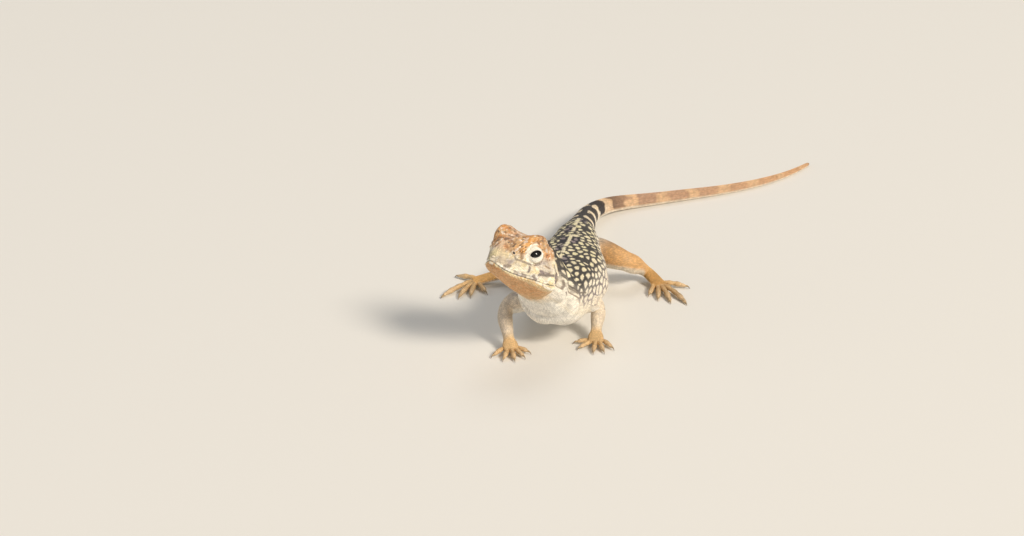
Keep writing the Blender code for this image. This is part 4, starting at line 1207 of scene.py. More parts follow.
def plateShape():
    # A rounded square outline, a smaller ring raised over it and a middle, as (back, side, height share, lift share)
    turns = turnsOf(8)
    outline = np.stack([0.5 * np.cos(turns), 0.5 * np.sin(turns)], axis=-1)
    outline *= (1 + 0.12 * np.sin(2 * turns) ** 2)[:, None]
    rim = np.column_stack([outline, np.zeros(8), 0.35 * np.cos(turns) + 0.15])
    ring = np.column_stack([outline * 0.64 + (0.02, 0), np.full(8, 0.85), 0.3 * np.cos(turns) + 0.15])
    return np.concatenate([rim, ring, [(0.03, 0.0, 1.0, 0.15)]]), roundFaces(8)


def keeledShape():
    # A leaf-shaped outline with a low ridge along its middle that rises towards the free rear edge
    corners = (
        (-0.50, 0.0, 0.0, -0.35), (-0.30, 0.36, 0.0, -0.2), (0.05, 0.50, 0.0, 0.0), (0.32, 0.32, 0.0, 0.6),
        (0.52, 0.0, 0.15, 1.0), (0.32, -0.32, 0.0, 0.6), (0.05, -0.50, 0.0, 0.0), (-0.30, -0.36, 0.0, -0.2),
        (-0.22, 0.0, 0.7, -0.1), (0.08, 0.0, 1.0, 0.2), (0.36, 0.0, 0.9, 0.7),
    )
    faces = (
        (0, 7, 8), (7, 6, 9), (7, 9, 8), (6, 5, 10), (6, 10, 9), (5, 4, 10),
        (0, 8, 1), (1, 8, 9), (1, 9, 2), (2, 9, 10), (2, 10, 3), (3, 10, 4),
        (0, 1, 2), (0, 2, 3), (0, 3, 4), (0, 4, 5), (0, 5, 6), (0, 6, 7),
    )
    return np.array(corners), np.array(faces)


def spineShape():
    # A six-sided cone that leans back over its rear edge
    turns = turnsOf(6)
    outline = np.stack([0.5 * np.cos(turns), 0.42 * np.sin(turns)], axis=-1)
    base = np.column_stack([outline, np.zeros(6), np.full(6, -1.0)])
    middle = np.column_stack([outline * 0.55 + (0.16, 0), np.full(6, 0.5), np.zeros(6)])
    return np.concatenate([base, middle, [(0.62, 0.0, 1.0, 0.0)]]), roundFaces(6)


shapes = {"plate": plateShape(), "keeled": keeledShape(), "spine": spineShape()}
coat = {
    "overlap": 1.5,  # a scale's length over the rows' spacing
    "fill": 1.08,  # its width over the places' spacing
    "chanceSize": 0.08,
    "chanceTurn": 5.0,
    "search": 2.5,  # how far off the skin is looked for
    "settle": 0.9,  # how far a root may be moved on to the skin
    "onSkin": (0.12, 0.4),  # up to which distance the ways out may agree less well, and by how much
    "turning": (0.04, 0.35),  # from where to where the skin's own way out takes over
    "loose": 0.15,  # how far a root may lie off its even place, as a share of the spacing
    "stretch": (0.45, 1.7),  # the least and most that a row's stretch changes a scale's length
    "patch": 0.003,  # the size of a scale's patch on the UV map
    "floor": 0.01,  # the least height of a scale's corners
    "sharp": 50,  # the angle in degrees from which an edge stays sharp
}
flesh = []  # every piece of the coat, for its material and its body


def skinTree(mesh):
    # A search tree of the skin's triangles, in the animal's own frame
    points = numbersOf(mesh.vertices, "co", 3).astype(float) / mm - shift
    mesh.calc_loop_triangles()
    faces = numbersOf(mesh.loop_triangles, "vertices", 3, np.int32)
    return BVHTree.FromPolygons(points.tolist(), faces.tolist())


tree = skinTree(skinMesh)


def atRow(values, row):
    # The value at a row between whole ones, where each whole row has one value
    return np.interp(row, np.arange(len(values)), values)


def rowAt(values, wanted):
    # The rows, between whole ones, where the rising values reach the wanted ones
    return np.interp(wanted, values, np.arange(len(values)))


def lattice(table, first, last, pitch, width, parts=((-0.25, 0.25), (0.25, 0.75))):
    # Rows lie where the surface's length over the pitch reaches whole numbers. Each part of a ring is shared
    # evenly by its length over the width, and every other row is moved by half a place. The pitch and the width are
    # each given as stations and values
    lengths, stations = table["length"], table["stations"]
    pitchAt = np.interp(stations, *pitch)
    steps = np.concatenate([[0], np.cumsum(np.diff(lengths) * 2 / (pitchAt[1:] + pitchAt[:-1]))])
    start, end = np.interp((first, last), stations, steps)
    chance = np.random.default_rng(len(steps))
    columns = table["points"].shape[1]
    rowList, turnList, widthList = [], [], []
    for number, place in enumerate(np.arange(start + 0.5, end, 1.0)):
        row = rowAt(steps, place)
        arc = table["arc"][int(row)]
        wide = np.interp(atRow(stations, row), *width)
        for low, high in parts:
            ends = np.interp(((low % 1), (high % 1) or 1.0), np.arange(columns + 1) / columns, arc)
            if low < 0:
                ends[0] -= arc[-1]
            count = max(int(round((ends[1] - ends[0]) / wide)), 2)
            step = (ends[1] - ends[0]) / count
            loose = coat["loose"] * chance.uniform(-1, 1, (2, count))
            at = ends[0] + (np.arange(count) + 0.25 + 0.5 * (number % 2) + loose[0]) * step
            turnList.append(np.interp(at % arc[-1], arc, np.arange(columns + 1) / columns))
            rowList.append(rowAt(steps, place + loose[1]))
            widthList.append(np.full(count, step))
    row = np.concatenate(rowList)
    station = atRow(stations, row)
    return {
        "row": row,
        "turn": np.concatenate(turnList) % 1.0,
        "station": station,
        "wide": np.concatenate(widthList),
        "pitch": np.interp(station, *pitch),
    }


def rooted(table, spots):
    # Adds each spot's place, outward way, backward way and length; the length follows the rows' local stretch
    at = {key: read(table, key, spots["row"], spots["turn"]) for key in ("points", "normals", "backs", "local")}
    mean = atRow(table["speed"].mean(axis=1), spots["row"])
    stretch = read(table, "speed", spots["row"], spots["turn"]) / mean
    spots = dict(spots)
    spots["at"] = at["points"]
    spots["normal"] = unit(at["normals"])
    spots["back"] = unit(at["backs"])
    spots["local"] = at["local"]
    spots["girth"] = atRow(table["arc"][:, -1], spots["row"])
    spots["long"] = spots["pitch"] * np.clip(stretch, *coat["stretch"])
    return spots


def keep(spots, mask):
    # The spots where the mask is true
    return {key: values[mask] for key, values in spots.items()}


def gather(groups):
    # One group from several, each of the same kinds of values
    return {key: np.concatenate([group[key] for group in groups]) for key in groups[0]}


def settled(spots, near=None, apart=0.4, agreeing=0.5):
    # Moves each spot to the nearest place of the skin. Leaves out those that another part covers, those whose way
    # out doesn't agree with the skin's, and those too close to the near places
    found = [tree.find_nearest(at, coat["search"]) for at in spots["at"].tolist()]
    hit = np.array([place is not None for place, *_ in found])
    places = np.array([place if place is not None else (0, 0, 0) for place, *_ in found])
    ways = np.array([way if way is not None else (0, 0, 1) for _, way, *_ in found])
    away = np.linalg.norm(places - spots["at"], axis=1)
    agree = np.sum(ways * spots["normal"], axis=1)
    close, less = coat["onSkin"]
    good = hit & (away < coat["settle"]) & (agree > agreeing - less * (away < close))
    spots = dict(spots)
    share = ramp(away, *coat["turning"])[:, None]
    spots["at"] = places
    spots["normal"] = unit(spots["normal"] * (1 - share) + ways * share)
    spots = keep(spots, good)
    if near is not None:
        others = KDTree(len(near))
        for number, place in enumerate(near.tolist()):
            others.insert(place, number)
        others.balance()
        clear = np.array([others.find(place)[2] > apart for place in spots["at"].tolist()])
        spots = keep(spots, clear)
    return spots


def makeScales(name, shape, spots, height, lift, marks, unwrap, jitter=1.0):
    # Each corner = root + back * its x * length + side * its y * width + outward * (its share of height and lift)
    # Markings are one number for each scale, or one for each of its corners. The piece joins the coat's others
    corners, faces = shapes[shape]
    count = len(spots["at"])
    chance = np.random.default_rng(len(name) + count)
    spread = 1 + jitter * coat["chanceSize"] * chance.uniform(-1, 1, (count, 3))
    turn = np.radians(jitter * coat["chanceTurn"]) * chance.normal(0, 0.6, count)[:, None]
    normal = spots["normal"]
    back = unit(spots["back"] - np.sum(spots["back"] * normal, axis=1, keepdims=True) * normal)
    side = np.cross(normal, back)
    back, side = back * np.cos(turn) + side * np.sin(turn), side * np.cos(turn) - back * np.sin(turn)
    long = (spots["long"] * coat["overlap"] * spread[:, 0])[:, None, None]
    wide = (spots["wide"] * coat["fill"] * spread[:, 1])[:, None, None]
    tall = (np.broadcast_to(height, count) * spread[:, 2])[:, None, None]
    rise = np.broadcast_to(lift, count)[:, None, None]
    x, y, k, z = (corners[None, :, i, None] for i in range(4))
    points = (
        spots["at"][:, None]
        + back[:, None] * x * long
        + side[:, None] * y * wide
        + normal[:, None] * (k * tall + z * rise)
    )
    points = onFloor(points, coat["floor"]).reshape(-1, 3)
    size = len(corners)
    joined = (faces[None] + size * np.arange(count)[:, None, None]).ravel()
    values = {key: np.repeat(mark, size) if mark.ndim == 1 else mark.ravel() for key, mark in marks.items()}
    values["chance"] = np.repeat(chance.uniform(0, 1, count), size)
    # how low each corner lies on its scale, which the material turns into painted shade at the rim
    values["rim"] = np.tile(1 - corners[:, 2], count)
    mesh = fillMesh(name, points, joined, np.full(len(joined) // 3, 3), values)
    mesh.set_sharp_from_angle(angle=math.radians(coat["sharp"]))
    layer = mesh.uv_layers.new(name="OFBake")
    flat = unwrap[:, None] + coat["patch"] * corners[None, :, :2]
    layer.data.foreach_set("uv", flat.reshape(-1, 2)[joined].astype(np.float32).ravel())
    print(name, count, "scales,", len(joined) // 3, "triangles")
    flesh.append(addObject(name, mesh))


def trunkUnwrap(spots):
    # Each scale's patch on the UV map, by its station and its turn
    return np.stack([0.01 + 0.97 * spots["station"] / trunk["stations"][-1], 0.01 + 0.97 * spots["turn"]], axis=-1)


def marksOfTrunk(spots):
    # One set of markings for each spot, read at its root
    return trunkMarks(spots["station"], spots["turn"], spots["girth"], spots["local"])


def marksOfCorners(spots, shape, whole=False):
    # The markings at every corner of every scale, found by its step along the rows and round the ring; a whole
    # scale has one ground colour, and only the strokes cross it
    corners = shapes[shape][0]
    length = atRow(trunk["length"], spots["row"])
    long = (spots["long"] * coat["overlap"])[:, None] * corners[None, :, 0]
    wide = (spots["wide"] * coat["fill"])[:, None] * corners[None, :, 1]
    row = rowAt(trunk["length"], length[:, None] + long)
    turn = (spots["turn"][:, None] + trunk["hand"] * wide / spots["girth"][:, None]) % 1.0
    station = atRow(trunk["stations"], row)
    local = read(trunk, "local", row.ravel(), turn.ravel()).reshape(*row.shape, 3)
    girth = np.repeat(spots["girth"][:, None], len(corners), axis=1)
    if not whole:
        return trunkMarks(station, turn, girth, local)
    ground = trunkMarks(spots["station"], spots["turn"], spots["girth"], spots["local"], False)
    ground = {name: np.repeat(mark[:, None], len(corners), axis=1) for name, mark in ground.items()}
    addStrokes(ground, station, sideOf(turn), girth)
    return ground


# Head, neck, trunk and tail scales

trunkStations = (0, 6, 20, 24, 36, 42, 90, 100, 140, 230)
trunkCoat = {
    "pitch": (trunkStations, (0.42, 0.52, 0.54, 0.5, 0.5, 0.56, 0.58, 0.62, 0.75, 0.8)),
    "width": (trunkStations, (0.42, 0.52, 0.54, 0.48, 0.5, 0.54, 0.54, 0.52, 0.42, 0.3)),
    "from": 0.25,
    "end": 1.0,  # how far from the tail's tip the last row lies
    "lipGap": (0.25, 0.80),  # how far scales stay off the lip, before the labial plates and along them
    "nostrilGap": 0.72,
    "earGrow": 1.12,
    "belly": 0.355,  # the turn from which the trunk has belly plates
}
labials = {
    "length": 1.15,
    "height": 0.70,
    "from": 0.4,  # the stations between which they lie
    "to": 15.6,
    "thick": 0.07,
    "lift": 0.03,
    "gap": 0.05,  # from the mouth line
    "overlap": 1.12,  # their length over their spacing
}


def inLid(local):
    # Inside the round outline that a lid covers, seen along the way that the eye looks
    away, depth, _ = lidPlace(local)
    return (away < eye["lids"][0]) & (depth > 0) & (np.abs(local[:, 1]) > 2)


def trunkSpots():
    # Even rows of places from the snout to the tail's tip, but none on the lids, ears, lips and nostrils
    end = trunk["stations"][-1] - trunkCoat["end"]
    spots = rooted(trunk, lattice(trunk, trunkCoat["from"], end, trunkCoat["pitch"], trunkCoat["width"]))
    station, local = spots["station"], spots["local"]
    isHead = station < head["length"]
    bare = isHead & (inLid(local) | (earAway(local) < trunkCoat["earGrow"]))
    lipAway = np.abs(sideOf(spots["turn"]) - 0.25) * spots["girth"]
    bare |= (lipAway < np.where(station < labials["from"], *trunkCoat["lipGap"])) & (station < labials["to"])
    bare |= isHead & (np.linalg.norm(onLeft(local) - head["nostrilAt"], axis=1) < trunkCoat["nostrilGap"])
    return settled(keep(spots, ~bare))


allSpots = trunkSpots()
headEnd = head["length"] - 1.5
neckEnd = bodyStart + 1
middle = neckEnd + 27
tailStart = bodyStart + body["trunk"]
# Each piece's first and last station, whether it is on the belly, its scales' shape, and their height and lift in mm
trunkPieces = {
    "head_scales": (0, headEnd, None, "plate", 0.16, 0.06),
    "neck_scales": (headEnd, neckEnd, None, "keeled", 0.10, 0.055),
    "shoulder_scales": (neckEnd, middle, False, "keeled", 0.10, 0.09),
    "back_scales": (middle, tailStart, False, "keeled", 0.10, 0.09),
    "belly_scales": (neckEnd, tailStart, True, "plate", 0.07, 0.08),
    "tail_scales": (tailStart, 999, None, "keeled", 0.13, 0.11),
}
for name, (first, last, belly, shape, height, lift) in trunkPieces.items():
    mask = (allSpots["station"] >= first) & (allSpots["station"] < last)
    if belly is not None:
        mask &= (sideOf(allSpots["turn"]) > trunkCoat["belly"]) == belly
    spots = keep(allSpots, mask)
    marks = marksOfCorners(spots, shape, name == "head_scales")
    makeScales(name, shape, spots, height, lift, marks, trunkUnwrap(spots))


# Labial plates in a row above and a row below the lip

def labialSpots():
    # Even steps along the lip, each row set off from it by half a plate's height
    lengths = trunk["length"]
    start, end = np.interp((labials["from"], labials["to"]), trunk["stations"], lengths)
    count = int((end - start) / labials["length"])
    at = start + (np.arange(count) + 0.5) * (end - start) / count
    rows = rowAt(lengths, at)
    girth = atRow(trunk["arc"][:, -1], rows)
    off = (labials["gap"] + labials["height"] / 2) / girth
    row = np.tile(rows, 4)
    return {
        "row": row,
        "turn": np.concatenate([0.25 - off, 0.25 + off, 0.75 - off, 0.75 + off]) % 1.0,
        "station": atRow(trunk["stations"], row),
        "wide": np.full(len(row), labials["height"] / coat["fill"]),
        "pitch": np.full(len(row), labials["length"] / coat["overlap"] * labials["overlap"]),
    }


lipSpots = settled(rooted(trunk, labialSpots()), agreeing=-1.0)
lipMarks = marksOfTrunk(lipSpots)
makeScales("labial_plates", "plate", lipSpots, labials["thick"], labials["lift"], lipMarks, trunkUnwrap(lipSpots))


# Lid beads in rings round the slit, larger along its rim

lidCoat = {
    "rows": (9.8, 11.6, 13.5, 15.4, 17.3, 19.4, 21.6, 23.8, 26.0, 28.2),
    "rimWidth": 0.34,
    "width": 0.40,
    "pitch": 0.30,
    "rowsLong": 2.1,  # a bead's length in the lid's own rows
    "long": (0.2, 0.45),
    "height": 0.085,
    "lift": 0.01,
}


def lidSpots(side):
    # Even places round each row of the lid, every other row moved by half a place
    table = lids[side]
    columns = eye["columns"]
    rowList, turnList, wideList = [], [], []
    for number, row in enumerate(lidCoat["rows"]):
        arc = table["arc"][int(row)]
        count = int(arc[-1] / (lidCoat["width"] if number else lidCoat["rimWidth"]))
        at = (np.arange(count) + 0.5 * (number % 2)) * arc[-1] / count
        turnList.append(np.interp(at % arc[-1], arc, np.arange(columns + 1) / columns))
        rowList.append(np.full(count, row))
        wideList.append(np.full(count, arc[-1] / count))
    row = np.concatenate(rowList)
    spots = {
        "row": row,
        "turn": np.concatenate(turnList) % 1.0,
        "station": row,
        "wide": np.concatenate(wideList),
        "pitch": np.full(len(row), lidCoat["pitch"]),
    }
    spots = rooted(table, spots)
    long = read(table, "speed", spots["row"], spots["turn"]) * lidCoat["rowsLong"]
    spots["long"] = np.clip(long, *lidCoat["long"])
    spots["side"] = np.full(len(row), float(side))
    return spots


beads = settled(gather([lidSpots(1), lidSpots(-1)]))
beadMarks = lidMarks(beads["row"], beads["turn"])
beadFlat = np.stack([0.25 + 0.2 * beads["side"] + 0.006 * beads["row"], 0.01 + 0.97 * beads["turn"]], axis=-1)
makeScales("lid_beads", "plate", beads, lidCoat["height"], lidCoat["lift"], beadMarks, beadFlat)


# Crest of small spines along the nape

crest = {
    "from": 22.0,
    "to": 52.0,
    "spacing": 1.0,
    "tall": (1.0, 0.5),  # the first spine and the last
    "rise": (-0.05, 0.08),  # over which share of the row the first spines grow
    "long": 0.95,
    "wide": 0.6,
    "lift": 0.05,
    "pale": 0.12,
}


def crestSpots():
    # One row along the middle of the back at even steps, lower towards the rear
    stations = np.arange(crest["from"], crest["to"], crest["spacing"])
    row = rowAt(trunk["stations"], stations)
    share = (stations - crest["from"]) / (crest["to"] - crest["from"])
    tall = crest["tall"][0] + (crest["tall"][1] - crest["tall"][0]) * share
    return {
        "row": row,
        "turn": np.zeros(len(row)),
        "station": stations,
        "wide": np.full(len(row), crest["wide"]),
        "pitch": np.full(len(row), crest["long"] / coat["overlap"]),
        "tall": tall * ramp(share, *crest["rise"]),
    }


thorns = settled(rooted(trunk, crestSpots()))
thornMarks = marksOfTrunk(thorns)
thornMarks["pale"] = np.maximum(thornMarks["pale"], crest["pale"])
makeScales("crest_spines", "spine", thorns, thorns["tall"], crest["lift"], thornMarks, trunkUnwrap(thorns))


# Nostrils: a low ring that rises to a rim and falls into a cup, painted dark as shade for the opening

nostril = {
    "profile": ((0.68, -0.15), (0.63, 0.07), (0.55, 0.17), (0.46, 0.19), (0.38, 0.13), (0.32, 0.06), (0.04, 0.04)),
    "lobes": (7, 0.07),  # how many small scales make up its rim, and how far each one bulges
    # the cup's dark is painted shade that stands for the nostril's opening
    "darkRows": (3.2, 4.6),  # between which rows the cup turns dark
    "seenFrom": 4,  # how far out of the head the skin under it is looked for
    "stretch": 1.2,
    "slant": 35.0,
    "columns": 28,
}


def nostrilMesh(side):
    # The profile's radius and height carried round the way that the nostril looks, longer along its slant
    turns = turnsOf(nostril["columns"])
    back, over, out = outwardAxes(head["nostrilOut"], side)
    slant = math.radians(nostril["slant"])
    long = over * math.sin(slant) - back * math.cos(slant)
    wide = over * math.cos(slant) + back * math.sin(slant)
    seen = fromHead(np.array(head["nostrilAt"]) * (1, side, 1)) + nostril["seenFrom"] * out
    at = np.array(tree.ray_cast(seen.tolist(), (-out).tolist())[0])
    radius, rise = (column[:, None, None] for column in np.transpose(nostril["profile"]))
    count, bulge = nostril["lobes"]
    radius = radius * (1 + bulge * np.abs(np.sin(count / 2 * turns))[None, :, None] * (radius > 0.5))
    x = radius * nostril["stretch"] * np.cos(turns)[None, :, None]
    y = radius * np.sin(turns)[None, :, None]
    points = at + x * long + y * wide + rise * out
    table = makeTable(points, np.arange(len(points)))
    if np.sum(table["normals"][1] @ out) < 0:
        table["normals"] = -table["normals"]
    number, _ = grids(table)
    # painted shade in the cup
    dark = ramp(number, *nostril["darkRows"])
    rest = 1 - dark
    marks = marksOf(
        number,
        dark=dark,
        pale=(0.12 + 0.12 * np.cos(2 * turns)) * rest,
        warm=(0.30 + 0.12 * np.sin(3 * turns)) * rest,
        slate=0.22 * rest,
    )
    return tubeMesh("nostril", table, {**marks, "chance": 0.5 + 0 * number, "rim": 0 * number})


for name, side in (("nostril_left", 1), ("nostril_right", -1)):
    flesh.append(addObject(name, nostrilMesh(side)))


# Snout tip: a wide plate over the mouth's front with a smaller one above it, and one under the mouth

tipPlates = {
    "at": ((0.12, 0.0, 0.60), (0.12, 0.0, -0.60), (0.22, 0.0, 1.45)),
    "rise": (0.30, -0.30, 0.55),
    "long": (1.0, 0.9, 0.75),
    "wide": (2.1, 1.8, 1.4),
    "height": 0.14,
    "sink": 0.08,
    "marks": {"warm": 0.16, "gold": 0.1, "pale": 0.45, "yellow": 0.2, "slate": 0.05},
}


def tipSpots():
    # The plates look ahead and a little up or down, and lie sunk in the skin
    forward, _, up = headAxes()
    normal = unit(forward + np.array(tipPlates["rise"])[:, None] * up)
    return {
        "at": fromHead(tipPlates["at"]) - tipPlates["sink"] * normal,
        "normal": normal,
        "back": np.array([up, -up, up]),
        "long": np.array(tipPlates["long"]) / coat["overlap"],
        "wide": np.array(tipPlates["wide"]) / coat["fill"],
    }


tipMarks = marksOf(np.zeros(3), **tipPlates["marks"])
tipFlat = np.array([[0.3, 0.3], [0.6, 0.6], [0.8, 0.8]])
makeScales("snout_tip_plates", "plate", tipSpots(), tipPlates["height"], 0.0, tipMarks, tipFlat, 0.0)


# Leg, hand and foot scales

limbCoat = {
    "leg": (0.05, 2.98),  # the first and the last joint number that have scales
    "legApart": 0.4,  # the least distance to the trunk's roots
    "digitFrom": 0.02,
    "digitEnd": 0.01,  # how far the last scale stays off a digit's end
    "digitApart": 0.3,  # the least distance to the hand's roots
    "digitSize": ((0, 1), (0.40, 0.38)),
}


def limbSpots(table, first, last, size, near, apart):
    # Even places round a leg or a digit, on the skin and clear of the roots near it
    return settled(rooted(table, lattice(table, first, last, size, size, ((0.0, 1.0),))), near, apart)


legScales = []
digitScales = []
for name, leg in legs.items():
    pitch = leg["kind"]["pitch"]
    spots = limbSpots(legTables[name], *limbCoat["leg"], pitch, allSpots["at"], limbCoat["legApart"])
    legScales.append((spots, limbMarks(spots["station"], spots["at"], spots["normal"], name.startswith("front"))))
    for digit in digits[name]:
        ends = limbCoat["digitFrom"], digit["stations"][-1] - limbCoat["digitEnd"]
        near = legScales[-1][0]["at"]
        spots = limbSpots(digit, *ends, limbCoat["digitSize"], near, limbCoat["digitApart"])
        digitScales.append((spots, digitMarks(spots["station"], spots["at"], spots["normal"])))


def addLimbPiece(name, parts, height, lift):
    # One piece from the scales of several limbs, which lie side by side on the UV map
    number = np.concatenate([np.full(len(part[0]["row"]), float(k)) for k, part in enumerate(parts)])
    spots, marks = (gather(group) for group in zip(*parts))
    along = (spots["station"] - spots["station"].min()) / np.ptp(spots["station"])
    flat = np.stack([0.005 + (number + 0.92 * along) / len(parts) * 0.985, 0.01 + 0.97 * spots["turn"]], axis=-1)
    makeScales(name, "keeled", spots, height, lift, marks, flat)


addLimbPiece("foreleg_scales", legScales[:2], 0.10, 0.09)
addLimbPiece("hindleg_scales", legScales[2:], 0.11, 0.10)
addLimbPiece("digit_scales", digitScales, 0.075, 0.06)


# Eyes: a ball with a slightly bulging front, ringed from its pole outwards

ball = {
    "radius": 2.2,
    "bulge": 0.14,
    "bulgeReach": 1.4,
    "ends": (0.02, 0.05),  # the angles that the first and the last row stay off the poles
    "rear": 4.0,  # the distance from the pupil that the back is given, past the last colour's
    "rows": 60,
    "columns": 72,
}


def eyeMesh(side):
    # Rows at even angles from the pole that looks out; the radius grows near the pole by a bell of the distance
    back, over, out = outwardAxes(eye["out"], side)
    front, rear = ball["ends"]
    angles = np.linspace(front, math.pi - rear, ball["rows"])[:, None]
    turns = turnsOf(ball["columns"])[None, :]
    away = ball["radius"] * np.sin(angles)
    radius = ball["radius"] + ball["bulge"] * np.exp(-((away / ball["bulgeReach"]) ** 2)) * (np.cos(angles) > 0)
    x, y = radius * np.sin(angles) * np.cos(turns), radius * np.sin(angles) * np.sin(turns)
    z = radius * np.cos(angles) * np.ones_like(turns)
    points = eyePlace(side) + x[..., None] * back + y[..., None] * over + z[..., None] * out
    away = np.where(np.cos(angles) > 0, away, ball["rear"]) * np.ones_like(turns)
    table = makeTable(points, np.arange(len(points)))
    return tubeMesh("eye", table, {"away": away, "turn": turns / (2 * math.pi) + 0 * away})


eyes = [addObject(name, eyeMesh(side)) for name, side in (("eyeball_left", 1), ("eyeball_right", -1))]


# Claws: curved horn cones at the ends of the digits

claw = {
    "rows": 12,
    "columns": 10,
    "arch": 0.22,  # how high its middle rises
    "bend": 1.6,  # the power by which it falls to the point
    "point": 0.06,  # the point's height
    "base": 0.44,  # its half thickness at the root over the digit's
    "tip": 0.03,
    "taper": 0.8,
    "narrow": 0.8,  # its width over its height
    "floor": 0.02,
}


def clawMesh():
    # Rings round a short arc that leaves the digit's end and bends down to the floor, tapering by a root
    pointList, cornerList, sizeList = [], [], []
    t = np.linspace(0, 1, claw["rows"])
    bent = t ** claw["bend"]
    size = claw["rows"] * claw["columns"]
    for places, radius in sum(clawPlaces.values(), []):
        start, end = places[0], places[-1]
        line = start + (end - start) * t[:, None]
        line[:, 2] = start[2] * (1 - bent) + claw["point"] * bent + claw["arch"] * np.sin(math.pi * t)
        way = unit(end - start)
        thick = claw["base"] * radius * (1 - t) ** claw["taper"] + claw["tip"]
        rings = ringsRound(line, (-way[1], way[0], 0.0), thick * claw["narrow"], thick, claw["columns"])
        number = np.arange(size).reshape(claw["rows"], claw["columns"]) + size * len(pointList)
        quads = ringQuads(number)
        cornerList += [quads.ravel(), number[0][::-1], number[-1]]
        sizeList += [4] * len(quads) + [claw["columns"]] * 2
        pointList.append(onFloor(rings, claw["floor"]).reshape(-1, 3))
    values = {"along": np.tile(np.repeat(t, claw["columns"]), len(pointList))}
    return fillMesh("claws", np.concatenate(pointList), np.concatenate(cornerList), sizeList, values)


claws = addObject("claws", clawMesh())
print("eyes and claws:", len(eyes), "and", len(digitScales))


# Materials

def linear(hexCode):
    # sRGB hex to linear colour: the low end over 12.92, the rest by the power 2.4
    parts = np.array([int(hexCode[i : i + 2], 16) / 255 for i in (1, 3, 5)])
    parts = np.where(parts <= 0.04045, parts / 12.92, ((parts + 0.055) / 1.055) ** 2.4)
    return (*parts.tolist(), 1.0)


def addNode(tree, kind, settings=None, links=None):
    # One node with its settings and the sockets that feed it; settings name a property, or a socket by its number
    node = tree.nodes.new(kind)
    for key, value in (settings or {}).items():
        if isinstance(key, int) or key in node.inputs:
            node.inputs[key].default_value = value
        else:
            setattr(node, key, value)
    for key, source in (links or {}).items():
        tree.links.new(source, node.inputs[key])
    return node


colours = {
    "cream": "#EBD9B2",
    "warm": "#CB8750",
    "gold": "#DFA44E",
    "yellow": "#EADF9C",
    "pale": "#FAF5EA",
    "slate": "#80717E",
    "dark": "#201F27",
}


def newMaterial(name, build, look):
    # An empty material, the nodes that the builder function adds by its look, and the output for their shader
    material = bpy.data.materials.new(name)
    material.use_nodes = True
    nodes = material.node_tree
    nodes.nodes.clear()
    addNode(nodes, "ShaderNodeOutputMaterial", {}, {"Surface": build(nodes, look).outputs[0]})
    return material


def keratin(nodes, look):
    # Dry lizard skin and scale keratin: matt to satin. The markings are laid over the ground one after the other, and
    # the result is multiplied by soft patches and, on scales, by each one's chance tone and by painted shade that
    # leaves its raised top a little lighter and its low rim darker
    where = addNode(nodes, "ShaderNodeTexCoord").outputs["Object"]
    colour = linear(colours["cream"])
    for mark in ("yellow", "warm", "gold", "pale", "slate", "dark"):
        share = addNode(nodes, "ShaderNodeAttribute", {"attribute_name": mark}).outputs["Fac"]
        mix = addNode(nodes, "ShaderNodeMix", {"data_type": "RGBA", 7: linear(colours[mark])}, {0: share})
        if mark == "yellow":
            mix.inputs[6].default_value = colour
        else:
            nodes.links.new(colour, mix.inputs[6])
        colour = mix.outputs[2]
    patches = addNode(
        nodes, "ShaderNodeTexNoise", {"Scale": 1 / (look["patches"] * mm), "Detail": 3.0}, {"Vector": where}
    ).outputs["Fac"]
    tones = [(patches, 0.3, 0.7, 0.88 * look["shade"], 1.1 * look["shade"])]
    if look["scaled"]:
        # each scale's chance tone, and painted shade that is darker at its low rim and a little lighter on its top
        for key, least, most in (("chance", 0.86, 1.12), ("rim", 1.05, 0.80)):
            given = addNode(nodes, "ShaderNodeAttribute", {"attribute_name": key}).outputs["Fac"]
            tones.append((given, 0.0, 1.0, least, most))
    for source, low, high, least, most in tones:
        tone = addNode(
            nodes, "ShaderNodeMapRange", {"From Min": low, "From Max": high, "To Min": least, "To Max": most},
            {"Value": source},
        ).outputs[0]
        colour = addNode(nodes, "ShaderNodeVectorMath", {"operation": "SCALE"}, {0: colour, "Scale": tone}).outputs[0]
    height = addNode(
        nodes, "ShaderNodeTexNoise", {"Scale": 1 / (look["grain"] * mm), "Detail": 4.0}, {"Vector": where}
    ).outputs["Fac"]
    least, most = look["roughness"]
    rough = addNode(nodes, "ShaderNodeMapRange", {"To Min": least, "To Max": most}, {"Value": height})
    if not look["scaled"]:
        # pebbles of bare skin
        pebbles = addNode(nodes, "ShaderNodeTexVoronoi", {"Scale": 1 / (look["pebbles"] * mm)}, {"Vector": where})
        height = addNode(
            nodes, "ShaderNodeMath", {"operation": "MULTIPLY_ADD", 1: -0.9},
            {0: pebbles.outputs["Distance"], 2: height},
        ).outputs[0]
    relief = {"Strength": look["bump"], "Distance": look["relief"] * mm}
    bump = addNode(nodes, "ShaderNodeBump", relief, {"Height": height})
    return addNode(
        nodes, "ShaderNodeBsdfPrincipled", {"IOR": 1.5, "Specular IOR Level": 0.4},
        {"Base Color": colour, "Roughness": rough.outputs[0], "Normal": bump.outputs[0]},
    )


